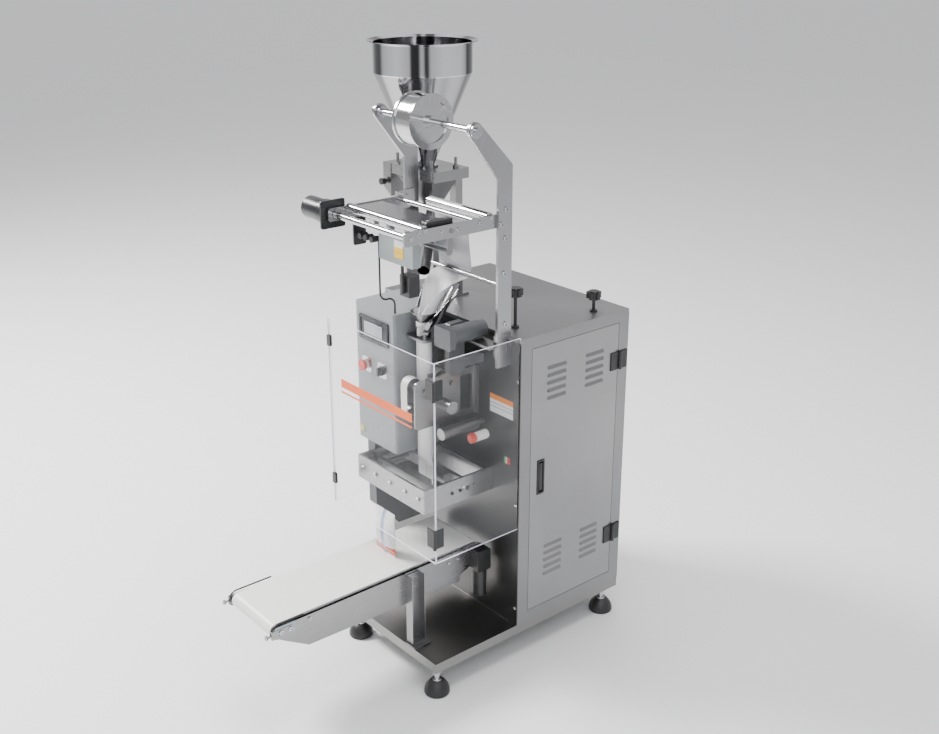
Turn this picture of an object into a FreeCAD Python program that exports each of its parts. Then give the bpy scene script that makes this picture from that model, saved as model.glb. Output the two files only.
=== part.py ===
import FreeCAD, Part
import math
import os
from FreeCAD import Vector

os.makedirs("parts", exist_ok=True)

# Driving dimensions, millimetres. X runs to the door side, Y to the back, Z up.
# The origin is at the middle of the whole machine's footprint, on the floor.
CABINET_WIDTH = 680.0
CABINET_DEPTH = 468.0
CABINET_TOP = 1090.0
CONVEYOR_REACH = 826.0      # front panel to the tip of the conveyor
REAR_VENT = 6.0             # depth of the vent hood on the back wall
RAIL = 33.0                 # square tube of the base
FOOT_HEIGHT = 78.0
SHEET = 2.0
LID_HEIGHT = 12.0

RIGHT = CABINET_WIDTH / 2
LEFT = -RIGHT
FRONT = (CONVEYOR_REACH - CABINET_DEPTH - REAR_VENT) / 2
BACK = FRONT + CABINET_DEPTH
BASE_TOP = FOOT_HEIGHT + RAIL
LID_BOTTOM = CABINET_TOP - LID_HEIGHT

STEP_LEFT = -100.0          # the base's front step is narrower than the cabinet
STEP_FRONT = FRONT - 333.0

TUBE_X, TUBE_Y = 70.0, 24.0         # forming tube axis
TUBE_RADIUS = 22.5
TUBE_TOP, TUBE_END = 1115.0, 671.0
SLEEVE_RADIUS = 24.5                # film around the tube

HOPPER_X, HOPPER_Y = -190.0, 234.0  # hopper axis, behind the uprights and left of the tube
HOPPER_RIM = 1912.0
HOPPER_SHOULDER = 1815.0
HOPPER_OUTLET = 1520.0
HOPPER_RADIUS = 154.0
HOPPER_LIP = 18.0
OUTLET_RADIUS = 30.0

UPRIGHT_THICK = 10.0
UPRIGHT_RIGHT = 285.0               # inner face of the right upright
UPRIGHT_LEFT = -145.0               # inner face of the left upright
UPRIGHT_FOOT, UPRIGHT_BEND = 1000.0, 1590.0
SHAFT_Y, SHAFT_Z = 38.0, 1717.0
SHAFT_RADIUS = 10.0
RUNNING_FIT = 0.05

FRAME_Z = 1448.0                    # middle height of the film frame bars
FRAME_BAR = 40.0
FRAME_RIGHT, FRAME_LEFT = 279.0, -86.0
FRAME_FRONT = -205.0
UNWIND_Y, GUIDE_Y, REAR_ROLLER_Y = -182.0, -132.0, 104.0
GUIDE_Z = 1462.0
DANCER_Y, DANCER_DROP = -40.0, 62.0
LOWER_ROD_Y, LOWER_ROD_Z = 130.0, 1259.0
FILM_LEFT, FILM_RIGHT = 6.0, 162.0

GUARD_LEFT, GUARD_FRONT = -190.0, -154.0
GUARD_BOTTOM, GUARD_TOP = 462.0, 1096.0
GUARD_SHEET = 5.0
GUARD_PIN = (RIGHT + 5.0, GUARD_FRONT - 5.0)
GUARD_HINGES = (543.0, 1014.0)

DOOR_FRONT, DOOR_BACK = FRONT + 46.0, BACK - 44.0
DOOR_BOTTOM, DOOR_TOP = 148.0, 1052.0
DOOR_DEPTH = 20.0
DOOR_GAP = 1.5
DOOR_PIN = (RIGHT + 6.5, DOOR_BACK + 4.0)
DOOR_HINGES = (300.0, 925.0)
HINGE_HEIGHT = 60.0
KNUCKLE = 5.5
PIN = 3.0

BOX_LEFT, BOX_RIGHT = -183.0, 24.0  # control box
BOX_FRONT, BOX_BACK = -54.0, 118.0
BOX_BOTTOM, BOX_TOP = 673.0, 1135.0

JAW_LEFT, JAW_RIGHT = -126.0, 220.0
JAW_FRONT, JAW_BACK = -100.0, 150.0
JAW_BOTTOM, JAW_TOP = 557.0, 636.0
JAW_PLATE = 8.0
JAW_OPEN = 25.0                     # each jaw face to the film plane at rest
ROD_X = (-88.0, 186.0)
ROD_Z = 596.0
ROD_RADIUS = 8.0

BELT_TOP = 368.0
BELT_LEFT, BELT_RIGHT = -38.0, 178.0
BELT_THICK = 2.5
ROLLER_RADIUS = 20.0
NOSE_Y = STEP_FRONT - 449.0         # axis of the roller at the conveyor's tip
TAIL_Y = 126.0
PLATE_THICK = 6.0

PULLEY_RADIUS = 26.0                # draw belt pulleys
DRAW_BELT = 2.0
DRAW_Z = (828.0, 917.0)
DRAW_OFFSET = SLEEVE_RADIUS + 0.6 + PULLEY_RADIUS + DRAW_BELT
ARM_X = 128.0


def block(x0, x1, y0, y1, z0, z1):
    return Part.makeBox(x1 - x0, y1 - y0, z1 - z0, Vector(x0, y0, z0))


def rod(start, end, radius):
    axis = Vector(*end) - Vector(*start)
    return Part.makeCylinder(radius, axis.Length, Vector(*start), axis)


def pipe(start, end, outer, inner):
    return rod(start, end, outer).cut(rod(start, end, inner))


def prism(points, axis, low, high):
    """A flat outline, given in the two axes across `axis`, pulled from low to high."""
    if axis == "x":
        corners = [Vector(low, a, b) for a, b in points]
        pull = Vector(high - low, 0, 0)
    elif axis == "y":
        corners = [Vector(a, low, b) for a, b in points]
        pull = Vector(0, high - low, 0)
    else:
        corners = [Vector(a, b, low) for a, b in points]
        pull = Vector(0, 0, high - low)
    return Part.Face(Part.makePolygon(corners + corners[:1])).extrude(pull)


def join(*shapes):
    return shapes[0].fuse(list(shapes[1:])).removeSplitter()


def group(solids):
    return Part.makeCompound(solids)


def rounded(shape, radius, axis):
    """Rounds every straight edge that runs along `axis`."""
    way = {"x": Vector(1, 0, 0), "y": Vector(0, 1, 0), "z": Vector(0, 0, 1)}[axis]
    edges = []
    for edge in shape.Edges:
        if isinstance(edge.Curve, Part.Line) and abs(edge.Curve.Direction.dot(way)) > 0.999:
            edges.append(edge)
    return shape.makeFillet(radius, edges)


def hexagon(x, y, z0, z1, across):
    radius = across / math.sqrt(3)
    points = [(x + radius * math.cos(math.radians(60 * i)), y + radius * math.sin(math.radians(60 * i)))
              for i in range(6)]
    return prism(points, "z", z0, z1)


def circle_at(x, y, z, radius):
    return Part.Wire(Part.makeCircle(radius, Vector(x, y, z)))


def rectangle_at(x0, x1, y0, y1, z):
    corners = [Vector(x0, y0, z), Vector(x1, y0, z), Vector(x1, y1, z), Vector(x0, y1, z)]
    return Part.makePolygon(corners + corners[:1])


# Base and feet

FOOT_PLACES = [(RIGHT - 16, STEP_FRONT + 17), (STEP_LEFT + 16, STEP_FRONT + 17), (RIGHT - 16, BACK - 60),
               (LEFT + 16, BACK - 60), (LEFT + 16, FRONT + 40)]


def base_frame():
    """Square rails round a shallow sheet tray, with a narrower step under the conveyor."""
    body = join(block(LEFT, RIGHT, FRONT, BACK, FOOT_HEIGHT, BASE_TOP),
                block(STEP_LEFT, RIGHT, STEP_FRONT, FRONT, FOOT_HEIGHT, BASE_TOP))
    body = rounded(body, 3.0, "z")
    for x0, x1, y0, y1 in ((LEFT, RIGHT, FRONT, BACK), (STEP_LEFT, RIGHT, STEP_FRONT, FRONT + RAIL)):
        inside = (x0 + RAIL, x1 - RAIL, y0 + RAIL, y1 - RAIL)
        body = body.cut(block(*inside, BASE_TOP - 4, BASE_TOP + 1))
        body = body.cut(block(*inside, FOOT_HEIGHT - 1, BASE_TOP - 7))
    return body


def foot_pads():
    """Rubber domes with a wide flat sole."""
    pads = []
    for x, y in FOOT_PLACES:
        outline = [Vector(0, 0, 0), Vector(38, 0, 0), Vector(40, 0, 3), Vector(40, 0, 9)]
        side = Part.makePolygon(outline).Edges
        dome = Part.Arc(Vector(40, 0, 9), Vector(33.5, 0, 29), Vector(19, 0, 44)).toShape()
        top = Part.makePolygon([Vector(19, 0, 44), Vector(0, 0, 44), Vector(0, 0, 0)]).Edges
        pad = Part.Face(Part.Wire(side + [dome] + top)).revolve(Vector(0, 0, 0), Vector(0, 0, 1), 360)
        pad.translate(Vector(x, y, 0))
        pads.append(pad)
    return group(pads)


def foot_stems():
    """Threaded stems with a base flange and a lock nut under the rail."""
    stems = []
    for x, y in FOOT_PLACES:
        stems.append(join(rod((x, y, 44), (x, y, FOOT_HEIGHT), 8), rod((x, y, 44), (x, y, 50), 15),
                          hexagon(x, y, FOOT_HEIGHT - 12, FOOT_HEIGHT, 24)))
    return group(stems)


# Cabinet

def louvre(y0, y1, z, x, away):
    """One pressed louvre: a hood that leans out of the sheet, open at its lower edge."""
    outer = prism([(x, z + 12), (x + away * 5, z), (x, z)], "y", y0, y1)
    inner = prism([(x, z + 9), (x + away * 4, z - 1), (x, z - 1)], "y", y0 + 1, y1 - 1)
    return outer, inner


def cabinet_shell():
    """Folded sheet cabinet: side, back and floor walls, with a door opening and a rear vent."""
    shell = block(LEFT, RIGHT, FRONT + 3, BACK, BASE_TOP, LID_BOTTOM)
    shell = shell.cut(block(LEFT + SHEET, RIGHT - SHEET, FRONT, BACK - SHEET, BASE_TOP + SHEET, CABINET_TOP))
    stop = block(RIGHT - DOOR_DEPTH - 4, RIGHT - DOOR_DEPTH - 1, DOOR_FRONT - 20, DOOR_BACK + 20,
                 DOOR_BOTTOM - 20, DOOR_TOP + 20)
    jamb = block(RIGHT - DOOR_DEPTH - 4, RIGHT - 1, DOOR_FRONT - 2, DOOR_BACK + 2, DOOR_BOTTOM - 2, DOOR_TOP + 2)
    shell = join(shell, stop, jamb)
    shell = shell.cut(block(RIGHT - DOOR_DEPTH - 1, RIGHT + 1, DOOR_FRONT, DOOR_BACK, DOOR_BOTTOM, DOOR_TOP))
    shell = shell.cut(block(RIGHT - DOOR_DEPTH - 5, RIGHT, DOOR_FRONT + 10, DOOR_BACK - 10,
                            DOOR_BOTTOM + 10, DOOR_TOP - 10))
    hood = block(-120, 120, BACK - 1, BACK + REAR_VENT, 800, 940)
    shell = join(shell, rounded(hood, 3.0, "z"))
    for i in range(6):
        shell = shell.cut(block(-100, 100, BACK - 3, BACK + REAR_VENT + 1, 815 + 20 * i, 823 + 20 * i))
    return shell


def front_panel():
    return block(LEFT, RIGHT, FRONT, FRONT + 3, BASE_TOP, LID_BOTTOM)


def top_lid():
    lid = block(LEFT, RIGHT, FRONT, BACK, LID_BOTTOM, CABINET_TOP)
    lid = lid.cut(block(LEFT + SHEET, RIGHT - SHEET, FRONT + SHEET, BACK - SHEET, LID_BOTTOM - 1, CABINET_TOP - SHEET))
    return rounded(lid, 2.5, "z")


def button_head_screws():
    """Button heads that hold the front panel, two up each edge and one at each corner."""
    heads = []
    for x in (LEFT + 11, RIGHT - 11):
        for z in (170, 540, 955):
            head = rod((x, FRONT, z), (x, FRONT - 3.5, z), 6)
            heads.append(head.makeFillet(2.5, [head.Edges[0]]))
    return group(heads)


def side_door():
    """A sheet pan with returned edges and four groups of five louvres."""
    y0, y1 = DOOR_FRONT + DOOR_GAP, DOOR_BACK - DOOR_GAP
    z0, z1 = DOOR_BOTTOM + DOOR_GAP, DOOR_TOP - DOOR_GAP
    door = block(RIGHT - DOOR_DEPTH, RIGHT, y0, y1, z0, z1)
    door = door.cut(block(RIGHT - DOOR_DEPTH - 1, RIGHT - SHEET, y0 + SHEET, y1 - SHEET, z0 + SHEET, z1 - SHEET))
    hoods, holes = [], []
    for first_y in (DOOR_FRONT + 69, DOOR_BACK - 145):
        for first_z in (DOOR_BOTTOM + 107, DOOR_TOP - 182):
            for i in range(5):
                z = first_z + 25 * i
                outer, inner = louvre(first_y, first_y + 75, z, RIGHT - 0.5, 1)
                hoods.append(outer)
                holes.append(inner)
                holes.append(block(RIGHT - 3, RIGHT - 0.4, first_y + 1, first_y + 74, z, z + 8.5))
    door = door.fuse(hoods).cut(holes)
    return door.cut(block(RIGHT - 3, RIGHT + 1, DOOR_FRONT + 30, DOOR_FRONT + 62, 555, 675))


def door_handle():
    """A swing-out lever in a recessed dish."""
    dish = rounded(block(RIGHT - 14, RIGHT + 2, DOOR_FRONT + 31, DOOR_FRONT + 61, 556, 674), 6, "x")
    dish = dish.cut(rounded(block(RIGHT - 9, RIGHT + 3, DOOR_FRONT + 36, DOOR_FRONT + 56, 562, 668), 5, "x"))
    return dish


def handle_lever():
    lever = rounded(block(RIGHT - 6, RIGHT + 1, DOOR_FRONT + 39, DOOR_FRONT + 53, 568, 662), 3, "x")
    return lever


def hinge(pin, z, leaf_fixed, leaf_moving):
    """Three knuckles on one pin. The outer two and the pin are fixed, the middle one moves."""
    x, y = pin
    third = HINGE_HEIGHT / 3
    z0 = z - HINGE_HEIGHT / 2
    middle = (z0 + third, z0 + 2 * third)
    fixed = join(rod((x, y, z0), (x, y, z0 + third - 0.4), KNUCKLE),
                 rod((x, y, middle[1] + 0.4), (x, y, z0 + HINGE_HEIGHT), KNUCKLE),
                 rod((x, y, z0), (x, y, z0 + HINGE_HEIGHT), PIN), leaf_fixed)
    fixed = fixed.cut(pipe((x, y, middle[0] - 0.4), (x, y, middle[1] + 0.4), KNUCKLE + 0.5, PIN))
    moving = join(pipe((x, y, middle[0]), (x, y, middle[1]), KNUCKLE, PIN + RUNNING_FIT), leaf_moving)
    gap = join(rod((x, y, z0 - 1), (x, y, middle[0] - 0.01), KNUCKLE + 0.5),
               rod((x, y, middle[1] + 0.01), (x, y, z0 + HINGE_HEIGHT + 1), KNUCKLE + 0.5),
               rod((x, y, z0), (x, y, z0 + HINGE_HEIGHT), PIN + RUNNING_FIT))
    return fixed, moving.cut(gap)


def cabinet_door_hinges():
    fixed, moving = [], []
    x, y = DOOR_PIN
    for z in DOOR_HINGES:
        z0, z1 = z - HINGE_HEIGHT / 2, z + HINGE_HEIGHT / 2
        leaf_fixed = block(RIGHT, RIGHT + 4, y + 2, DOOR_BACK + 38, z0, z1)
        leaf_moving = block(RIGHT, RIGHT + 4, DOOR_BACK - 34, DOOR_BACK - 0.5, z0, z1)
        leaf_moving = join(leaf_moving, block(RIGHT + 1, RIGHT + 4, DOOR_BACK - 2, y, z0 + 21, z1 - 21))
        pair = hinge(DOOR_PIN, z, leaf_fixed, leaf_moving)
        fixed.append(pair[0])
        moving.append(pair[1])
    return fixed, moving


def guard_hinges():
    fixed, moving = [], []
    x, y = GUARD_PIN
    for z in GUARD_HINGES:
        z0, z1 = z - HINGE_HEIGHT / 2, z + HINGE_HEIGHT / 2
        leaf_fixed = block(RIGHT, RIGHT + 4, y + 2, GUARD_FRONT + 30, z0, z1)
        leaf_fixed = leaf_fixed.cut(block(RIGHT - 1, RIGHT + 5, y, GUARD_FRONT + 0.5, z0 + 19.5, z1 - 19.5))
        leaf_moving = block(RIGHT - 32, RIGHT - 0.4, GUARD_FRONT - 4, GUARD_FRONT, z0, z1)
        leaf_moving = join(leaf_moving, block(RIGHT - 2, x - 2, GUARD_FRONT - 4, GUARD_FRONT, z0 + 21, z1 - 21))
        leaf_moving = join(leaf_moving, block(x - 3, x, GUARD_FRONT - 4, GUARD_FRONT - 1, z0 + 21, z1 - 21))
        pair = hinge(GUARD_PIN, z, leaf_fixed, leaf_moving)
        fixed.append(pair[0])
        moving.append(pair[1])
    return fixed, moving


def star_knobs():
    """Five-lobed clamping knobs on studs through the cabinet top."""
    knobs = []
    for x, y, bottom in ((286, 535, CABINET_TOP + 40), (240, 243, CABINET_TOP + 98)):
        knob = rod((x, y, bottom), (x, y, bottom + 28), 17)
        for i in range(5):
            angle = math.radians(72 * i)
            knob = knob.fuse(rod((x + 17 * math.cos(angle), y + 17 * math.sin(angle), bottom + 4),
                                 (x + 17 * math.cos(angle), y + 17 * math.sin(angle), bottom + 24), 8))
        knobs.append(join(knob.removeSplitter(), rod((x, y, CABINET_TOP), (x, y, bottom), 5),
                          rod((x, y, CABINET_TOP), (x, y, CABINET_TOP + 5), 12)))
    screw = join(rod((CHEEK_LEFT + 18, GATE_FRONT, GATE_TOP - 62), (CHEEK_LEFT + 18, GATE_FRONT - 8, GATE_TOP - 62), 5),
                 rod((CHEEK_LEFT + 18, GATE_FRONT - 8, GATE_TOP - 62),
                     (CHEEK_LEFT + 18, GATE_FRONT - 24, GATE_TOP - 62), 11))
    return group(knobs + [screw])


def drive_gearmotor():
    """Main gearmotor on a foot plate inside the cabinet, with its crank disc."""
    gearbox = rounded(block(-60, 60, 330, 440, 125, 265), 12, "y")
    motor = rod((0, 440, 195), (0, 600, 195), 55)
    plate = block(-90, 90, 310, 560, BASE_TOP + SHEET, 125)
    shaft = rod((0, 330, 195), (0, 290, 195), 14)
    disc = rod((0, 290, 195), (0, 278, 195), 60)
    return join(gearbox, motor, plate, shaft, disc)


def electrical_plate():
    """Mounting plate with contactors, inverter and terminals, on the cabinet's left wall."""
    plate = block(LEFT + SHEET, LEFT + 5, 240, 600, 400, 950)
    inverter = block(LEFT + 5, LEFT + 95, 270, 380, 760, 920)
    breakers = [block(LEFT + 5, LEFT + 60, 420 + 24 * i, 442 + 24 * i, 800, 890) for i in range(6)]
    rail = block(LEFT + 5, LEFT + 15, 260, 580, 600, 635)
    relays = [block(LEFT + 15, LEFT + 65, 265 + 30 * i, 292 + 30 * i, 580, 655) for i in range(10)]
    return join(plate, inverter, rail, *breakers, *relays)


# Uprights, film shaft and film frame

def upright(x0):
    """A flat bar cut to a forward-leaning arm, with a round eye for the shaft bush."""
    x1 = x0 + UPRIGHT_THICK
    front_y = FRONT - 52
    lean = math.atan2(SHAFT_Z - UPRIGHT_BEND, front_y + 24 - SHAFT_Y)
    half = 24.0
    across = (half * math.sin(lean), half * math.cos(lean))
    outline = [(front_y, UPRIGHT_FOOT), (FRONT, UPRIGHT_FOOT), (FRONT, UPRIGHT_BEND + 18),
               (SHAFT_Y + across[0], SHAFT_Z + across[1]), (SHAFT_Y - across[0], SHAFT_Z - across[1]),
               (front_y, UPRIGHT_BEND - 20)]
    bar = join(prism(outline, "x", x0, x1), rod((x0, SHAFT_Y, SHAFT_Z), (x1, SHAFT_Y, SHAFT_Z), half))
    return bar.cut(rod((x0 - 1, SHAFT_Y, SHAFT_Z), (x1 + 1, SHAFT_Y, SHAFT_Z), 16))


def uprights():
    return group([upright(UPRIGHT_RIGHT), upright(UPRIGHT_LEFT - UPRIGHT_THICK)])


def shaft_bearings():
    """Flanged bushes pressed into the arm eyes."""
    bushes = []
    for inner, away in ((UPRIGHT_RIGHT, 1), (UPRIGHT_LEFT, -1)):
        outer = inner + away * UPRIGHT_THICK
        bush = join(rod((inner, SHAFT_Y, SHAFT_Z), (outer, SHAFT_Y, SHAFT_Z), 16),
                    rod((outer, SHAFT_Y, SHAFT_Z), (outer + away * 6, SHAFT_Y, SHAFT_Z), 21))
        bushes.append(bush.cut(rod((inner - away, SHAFT_Y, SHAFT_Z), (outer + away * 7, SHAFT_Y, SHAFT_Z),
                                   SHAFT_RADIUS + RUNNING_FIT)))
    return group(bushes)


def roll_shaft():
    end = UPRIGHT_RIGHT + UPRIGHT_THICK + 12
    start = UPRIGHT_LEFT - UPRIGHT_THICK - 12
    bar = rod((start, SHAFT_Y, SHAFT_Z), (end, SHAFT_Y, SHAFT_Z), SHAFT_RADIUS)
    collars = [rod((x, SHAFT_Y, SHAFT_Z), (x + 10, SHAFT_Y, SHAFT_Z), 17)
               for x in (UPRIGHT_LEFT + 1, UPRIGHT_RIGHT - 11)]
    return join(bar, *collars)


def roll_chuck():
    """Polished drum that a film core is clamped on, with raised rims and a hub."""
    x0, x1 = 18.0, 101.0
    drum = rod((x0, SHAFT_Y, SHAFT_Z), (x1, SHAFT_Y, SHAFT_Z), 76)
    rims = [rod((x, SHAFT_Y, SHAFT_Z), (x + 8, SHAFT_Y, SHAFT_Z), 80) for x in (x0, x1 - 8)]
    drum = join(drum, *rims)
    for low, high in ((x0 - 1, x0 + 5), (x1 - 5, x1 + 1)):
        drum = drum.cut(rod((low, SHAFT_Y, SHAFT_Z), (high, SHAFT_Y, SHAFT_Z), 62))
    drum = join(drum, rod((x0 - 8, SHAFT_Y, SHAFT_Z), (x1 + 8, SHAFT_Y, SHAFT_Z), 18))
    return drum.cut(rod((x0 - 9, SHAFT_Y, SHAFT_Z), (x1 + 9, SHAFT_Y, SHAFT_Z), SHAFT_RADIUS))


def film_frame():
    """Two flat side bars joined by round stays and hung from the uprights."""
    low, high = FRAME_Z - FRAME_BAR / 2, FRAME_Z + FRAME_BAR / 2
    right_bar = rounded(block(FRAME_RIGHT, FRAME_RIGHT + 6, FRAME_FRONT, FRONT, low, high), 8, "x")
    left_bar = rounded(block(FRAME_LEFT, FRAME_LEFT + 6, FRAME_FRONT, 96, low, high), 8, "x")
    back_link = block(UPRIGHT_LEFT, FRAME_LEFT + 3, 84, 90, low, high)
    side_link = block(UPRIGHT_LEFT, UPRIGHT_LEFT + 6, 84, FRONT - 20, low, high)
    stays = [rod((FRAME_LEFT, y, FRAME_Z + rise), (FRAME_RIGHT + 6, y, FRAME_Z + rise), radius)
             for y, rise, radius in ((66, 6, 8), (-90, -12, 6))]
    deck = block(FRAME_LEFT + 6, FRAME_RIGHT, GUIDE_Y + 18, DANCER_Y + 22, FRAME_Z + 14.5, FRAME_Z + 17.5)
    boss = rod((FRAME_LEFT - 14, 66, FRAME_Z + 6), (FRAME_LEFT, 66, FRAME_Z + 6), 14)
    frame = join(right_bar, left_bar, back_link, side_link, deck, boss, *stays)
    axles = [((UNWIND_Y, FRAME_Z), 7), ((GUIDE_Y, GUIDE_Z), 6), ((DANCER_Y, FRAME_Z), 7)]
    for (y, z), radius in axles:
        frame = frame.cut(rod((FRAME_LEFT - 1, y, z), (FRAME_RIGHT + 7, y, z), radius + RUNNING_FIT))
    frame = frame.cut(rod((FRAME_RIGHT - 1, REAR_ROLLER_Y, GUIDE_Z), (FRAME_RIGHT + 7, REAR_ROLLER_Y, GUIDE_Z),
                          6 + RUNNING_FIT))
    lower_rod = rod((UPRIGHT_LEFT, LOWER_ROD_Y, LOWER_ROD_Z), (UPRIGHT_RIGHT, LOWER_ROD_Y, LOWER_ROD_Z), 6)
    return group([frame, lower_rod])


def roller(y, z, x0, x1, radius, axle, axle_x0, axle_x1):
    return join(rod((x0, y, z), (x1, y, z), radius), rod((axle_x0, y, z), (axle_x1, y, z), axle))


def unwind_roller():
    return roller(UNWIND_Y, FRAME_Z, FRAME_LEFT + 8, FRAME_RIGHT - 2, 10, 7, FRAME_LEFT - 2, FRAME_RIGHT + 8)


def front_guide_roller():
    return roller(GUIDE_Y, GUIDE_Z, FRAME_LEFT + 8, FRAME_RIGHT - 2, 14, 6, FRAME_LEFT, FRAME_RIGHT + 8)


def rear_guide_roller():
    """Overhung roller that carries the film down to the forming collar."""
    return roller(REAR_ROLLER_Y, GUIDE_Z, 2, FRAME_RIGHT - 2, 14, 6, 2, FRAME_RIGHT + 8)


def dancer_arm():
    """Two swing arms on a cross shaft, with the dancer bar at their lower ends."""
    z = FRAME_Z
    arms = []
    for x in (FRAME_LEFT + 9, FRAME_RIGHT - 9):
        arm = join(rod((x, DANCER_Y, z), (x + 6, DANCER_Y, z), 13), rod((x, DANCER_Y, z - DANCER_DROP),
                                                                       (x + 6, DANCER_Y, z - DANCER_DROP), 11))
        arms.append(join(arm, block(x, x + 6, DANCER_Y - 8, DANCER_Y + 8, z - DANCER_DROP, z)))
    shaft = rod((FRAME_LEFT - 4, DANCER_Y, z), (FRAME_RIGHT + 8, DANCER_Y, z), 7)
    bar = rod((FRAME_LEFT + 9, DANCER_Y, z - DANCER_DROP), (FRAME_RIGHT - 4, DANCER_Y, z - DANCER_DROP), 7)
    return join(*arms, shaft, bar)


def unwind_gearmotor():
    """Small gearmotor on a plate outside the left bar, coaxial with the unwind roller."""
    y, z = UNWIND_Y, FRAME_Z
    plate = rounded(block(FRAME_LEFT - 10, FRAME_LEFT - 4, y - 42, y + 42, z - 42, z + 42), 6, "x")
    gearbox = rod((FRAME_LEFT - 10, y, z), (FRAME_LEFT - 45, y, z), 38)
    motor = rod((FRAME_LEFT - 45, y, z), (FRAME_LEFT - 125, y, z), 34)
    body = join(plate, gearbox, motor)
    spacer = rod((FRAME_LEFT, y + 30, z - 12), (FRAME_LEFT - 4, y + 30, z - 12), 5)
    body = join(body, spacer)
    return body.cut(rod((FRAME_LEFT + 1, y, z), (FRAME_LEFT - 20, y, z), 7.5))


def photo_eye():
    """Print-mark sensor below its amplifier box, and a knob bar, all hung from the front stay."""
    z = FRAME_Z - 12
    stem = rod((120, -90, 1326), (120, -90, 1236), 5)
    eye = rounded(block(95, 145, -84, -46, 1225, 1288), 4, "z")
    link = block(114, 126, -90, -84, 1245, 1265)
    lens = rod((120, -46, 1250), (120, -38, 1250), 9)
    amplifier = rounded(block(28, 190, -105, -77, 1326, 1410), 4, "y")
    parts = [join(amplifier, stem, link, eye, lens)]
    clamps = []
    for x in (60, 150):
        clamp = block(x, x + 14, -100, -80, 1410, z + 10)
        clamps.append(clamp.cut(rod((x - 1, -90, z), (x + 15, -90, z), 6)))
    bar = rod((-74, -91, 1378), (28, -91, 1378), 5)
    plate = rounded(block(-79.5, -74, -122, -78, 1345, 1428), 5, "x")
    knobs = [rod((x, -91, 1378), (x, -118, 1378), 9) for x in (-52, -24, 6)]
    parts[0] = join(parts[0], bar, plate, *clamps, *knobs)
    return group(parts)


def sensor_cable():
    """Black lead from the amplifier down into the top of the control box."""
    points = [Vector(8, -91, 1369), Vector(8, -91, 1186), Vector(8, -38, 1186), Vector(8, -38, BOX_TOP)]
    edges = []
    start = points[0]
    for before, corner, after in zip(points, points[1:], points[2:]):
        back, ahead = (before - corner), (after - corner)
        radius = 0.45 * min(back.Length, ahead.Length)
        back.normalize()
        ahead.normalize()
        bend = [corner + back * radius, corner + (back + ahead) * radius - (back + ahead).normalize() * radius,
                corner + ahead * radius]
        edges.append(Part.makeLine(start, bend[0]))
        edges.append(Part.Arc(*bend).toShape())
        start = bend[2]
    edges.append(Part.makeLine(start, points[-1]))
    circle = Part.Wire(Part.makeCircle(3, points[0], Vector(0, 0, -1)))
    return Part.Wire(edges).makePipeShell([circle], True, False)


# Product path

def hopper():
    """Spun hopper: rolled rim, straight wall, cone and outlet flange, one wall thick."""
    wall = 1.5
    outline = [(OUTLET_RADIUS, HOPPER_OUTLET), (45, HOPPER_OUTLET), (45, HOPPER_OUTLET + 5),
               (OUTLET_RADIUS + wall + 0.5, HOPPER_OUTLET + 5), (HOPPER_RADIUS, HOPPER_SHOULDER),
               (HOPPER_RADIUS, HOPPER_RIM - 8), (HOPPER_RADIUS + HOPPER_LIP, HOPPER_RIM - 2),
               (HOPPER_RADIUS + HOPPER_LIP, HOPPER_RIM),
               (HOPPER_RADIUS - wall, HOPPER_RIM - 6), (HOPPER_RADIUS - wall, HOPPER_SHOULDER + 0.5),
               (OUTLET_RADIUS, HOPPER_OUTLET + 5)]
    corners = [Vector(r, 0, z) for r, z in outline]
    shape = Part.Face(Part.makePolygon(corners + corners[:1])).revolve(Vector(0, 0, 0), Vector(0, 0, 1), 360)
    shape.translate(Vector(HOPPER_X, HOPPER_Y, 0))
    return shape


GATE_TOP = HOPPER_OUTLET
GATE_BOTTOM = GATE_TOP - 33
GATE_SLOT = (GATE_TOP - 20, GATE_TOP - 14)
GATE_LEFT, GATE_RIGHT = HOPPER_X - 110, HOPPER_X + 110
GATE_FRONT, GATE_BACK = FRONT + 6, 332.0
CHEEK_LEFT = GATE_LEFT - 40


def gate_housing():
    """Plate under the hopper, bored for the product, slotted for the gate, on two legs from the lid."""
    x, y = HOPPER_X, HOPPER_Y
    plate = rounded(block(GATE_LEFT, GATE_RIGHT, GATE_FRONT, GATE_BACK, GATE_BOTTOM, GATE_TOP), 8, "z")
    cheek = prism([(CHEEK_LEFT, GATE_TOP - 2), (GATE_LEFT + 1, GATE_TOP - 2), (GATE_LEFT + 1, GATE_TOP - 110),
                   (CHEEK_LEFT, GATE_TOP - 82)], "y", GATE_FRONT, GATE_FRONT + 82)
    body = join(plate, cheek)
    for leg_x in (HOPPER_X - 60, HOPPER_X + 60):
        leg = block(leg_x - 15, leg_x + 15, GATE_BACK - 30, GATE_BACK - 2, CABINET_TOP, GATE_BOTTOM)
        body = join(body, leg, block(leg_x - 28, leg_x + 28, GATE_BACK - 44, GATE_BACK + 14, CABINET_TOP,
                                     CABINET_TOP + 8))
    body = body.cut(rod((x, y, GATE_BOTTOM - 1), (x, y, GATE_TOP + 1), OUTLET_RADIUS))
    body = body.cut(block(CHEEK_LEFT - 1, x + 34, y - 33, y + 33, GATE_SLOT[0], GATE_SLOT[1]))
    studs = []
    for dx in (-88, 88):
        for stud_y in (GATE_FRONT + 13, GATE_BACK - 40):
            studs.append(join(rod((x + dx, stud_y, GATE_TOP), (x + dx, stud_y, GATE_TOP + 34), 5),
                              hexagon(x + dx, stud_y, GATE_TOP, GATE_TOP + 9, 16)))
    return join(body, *studs)


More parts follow.
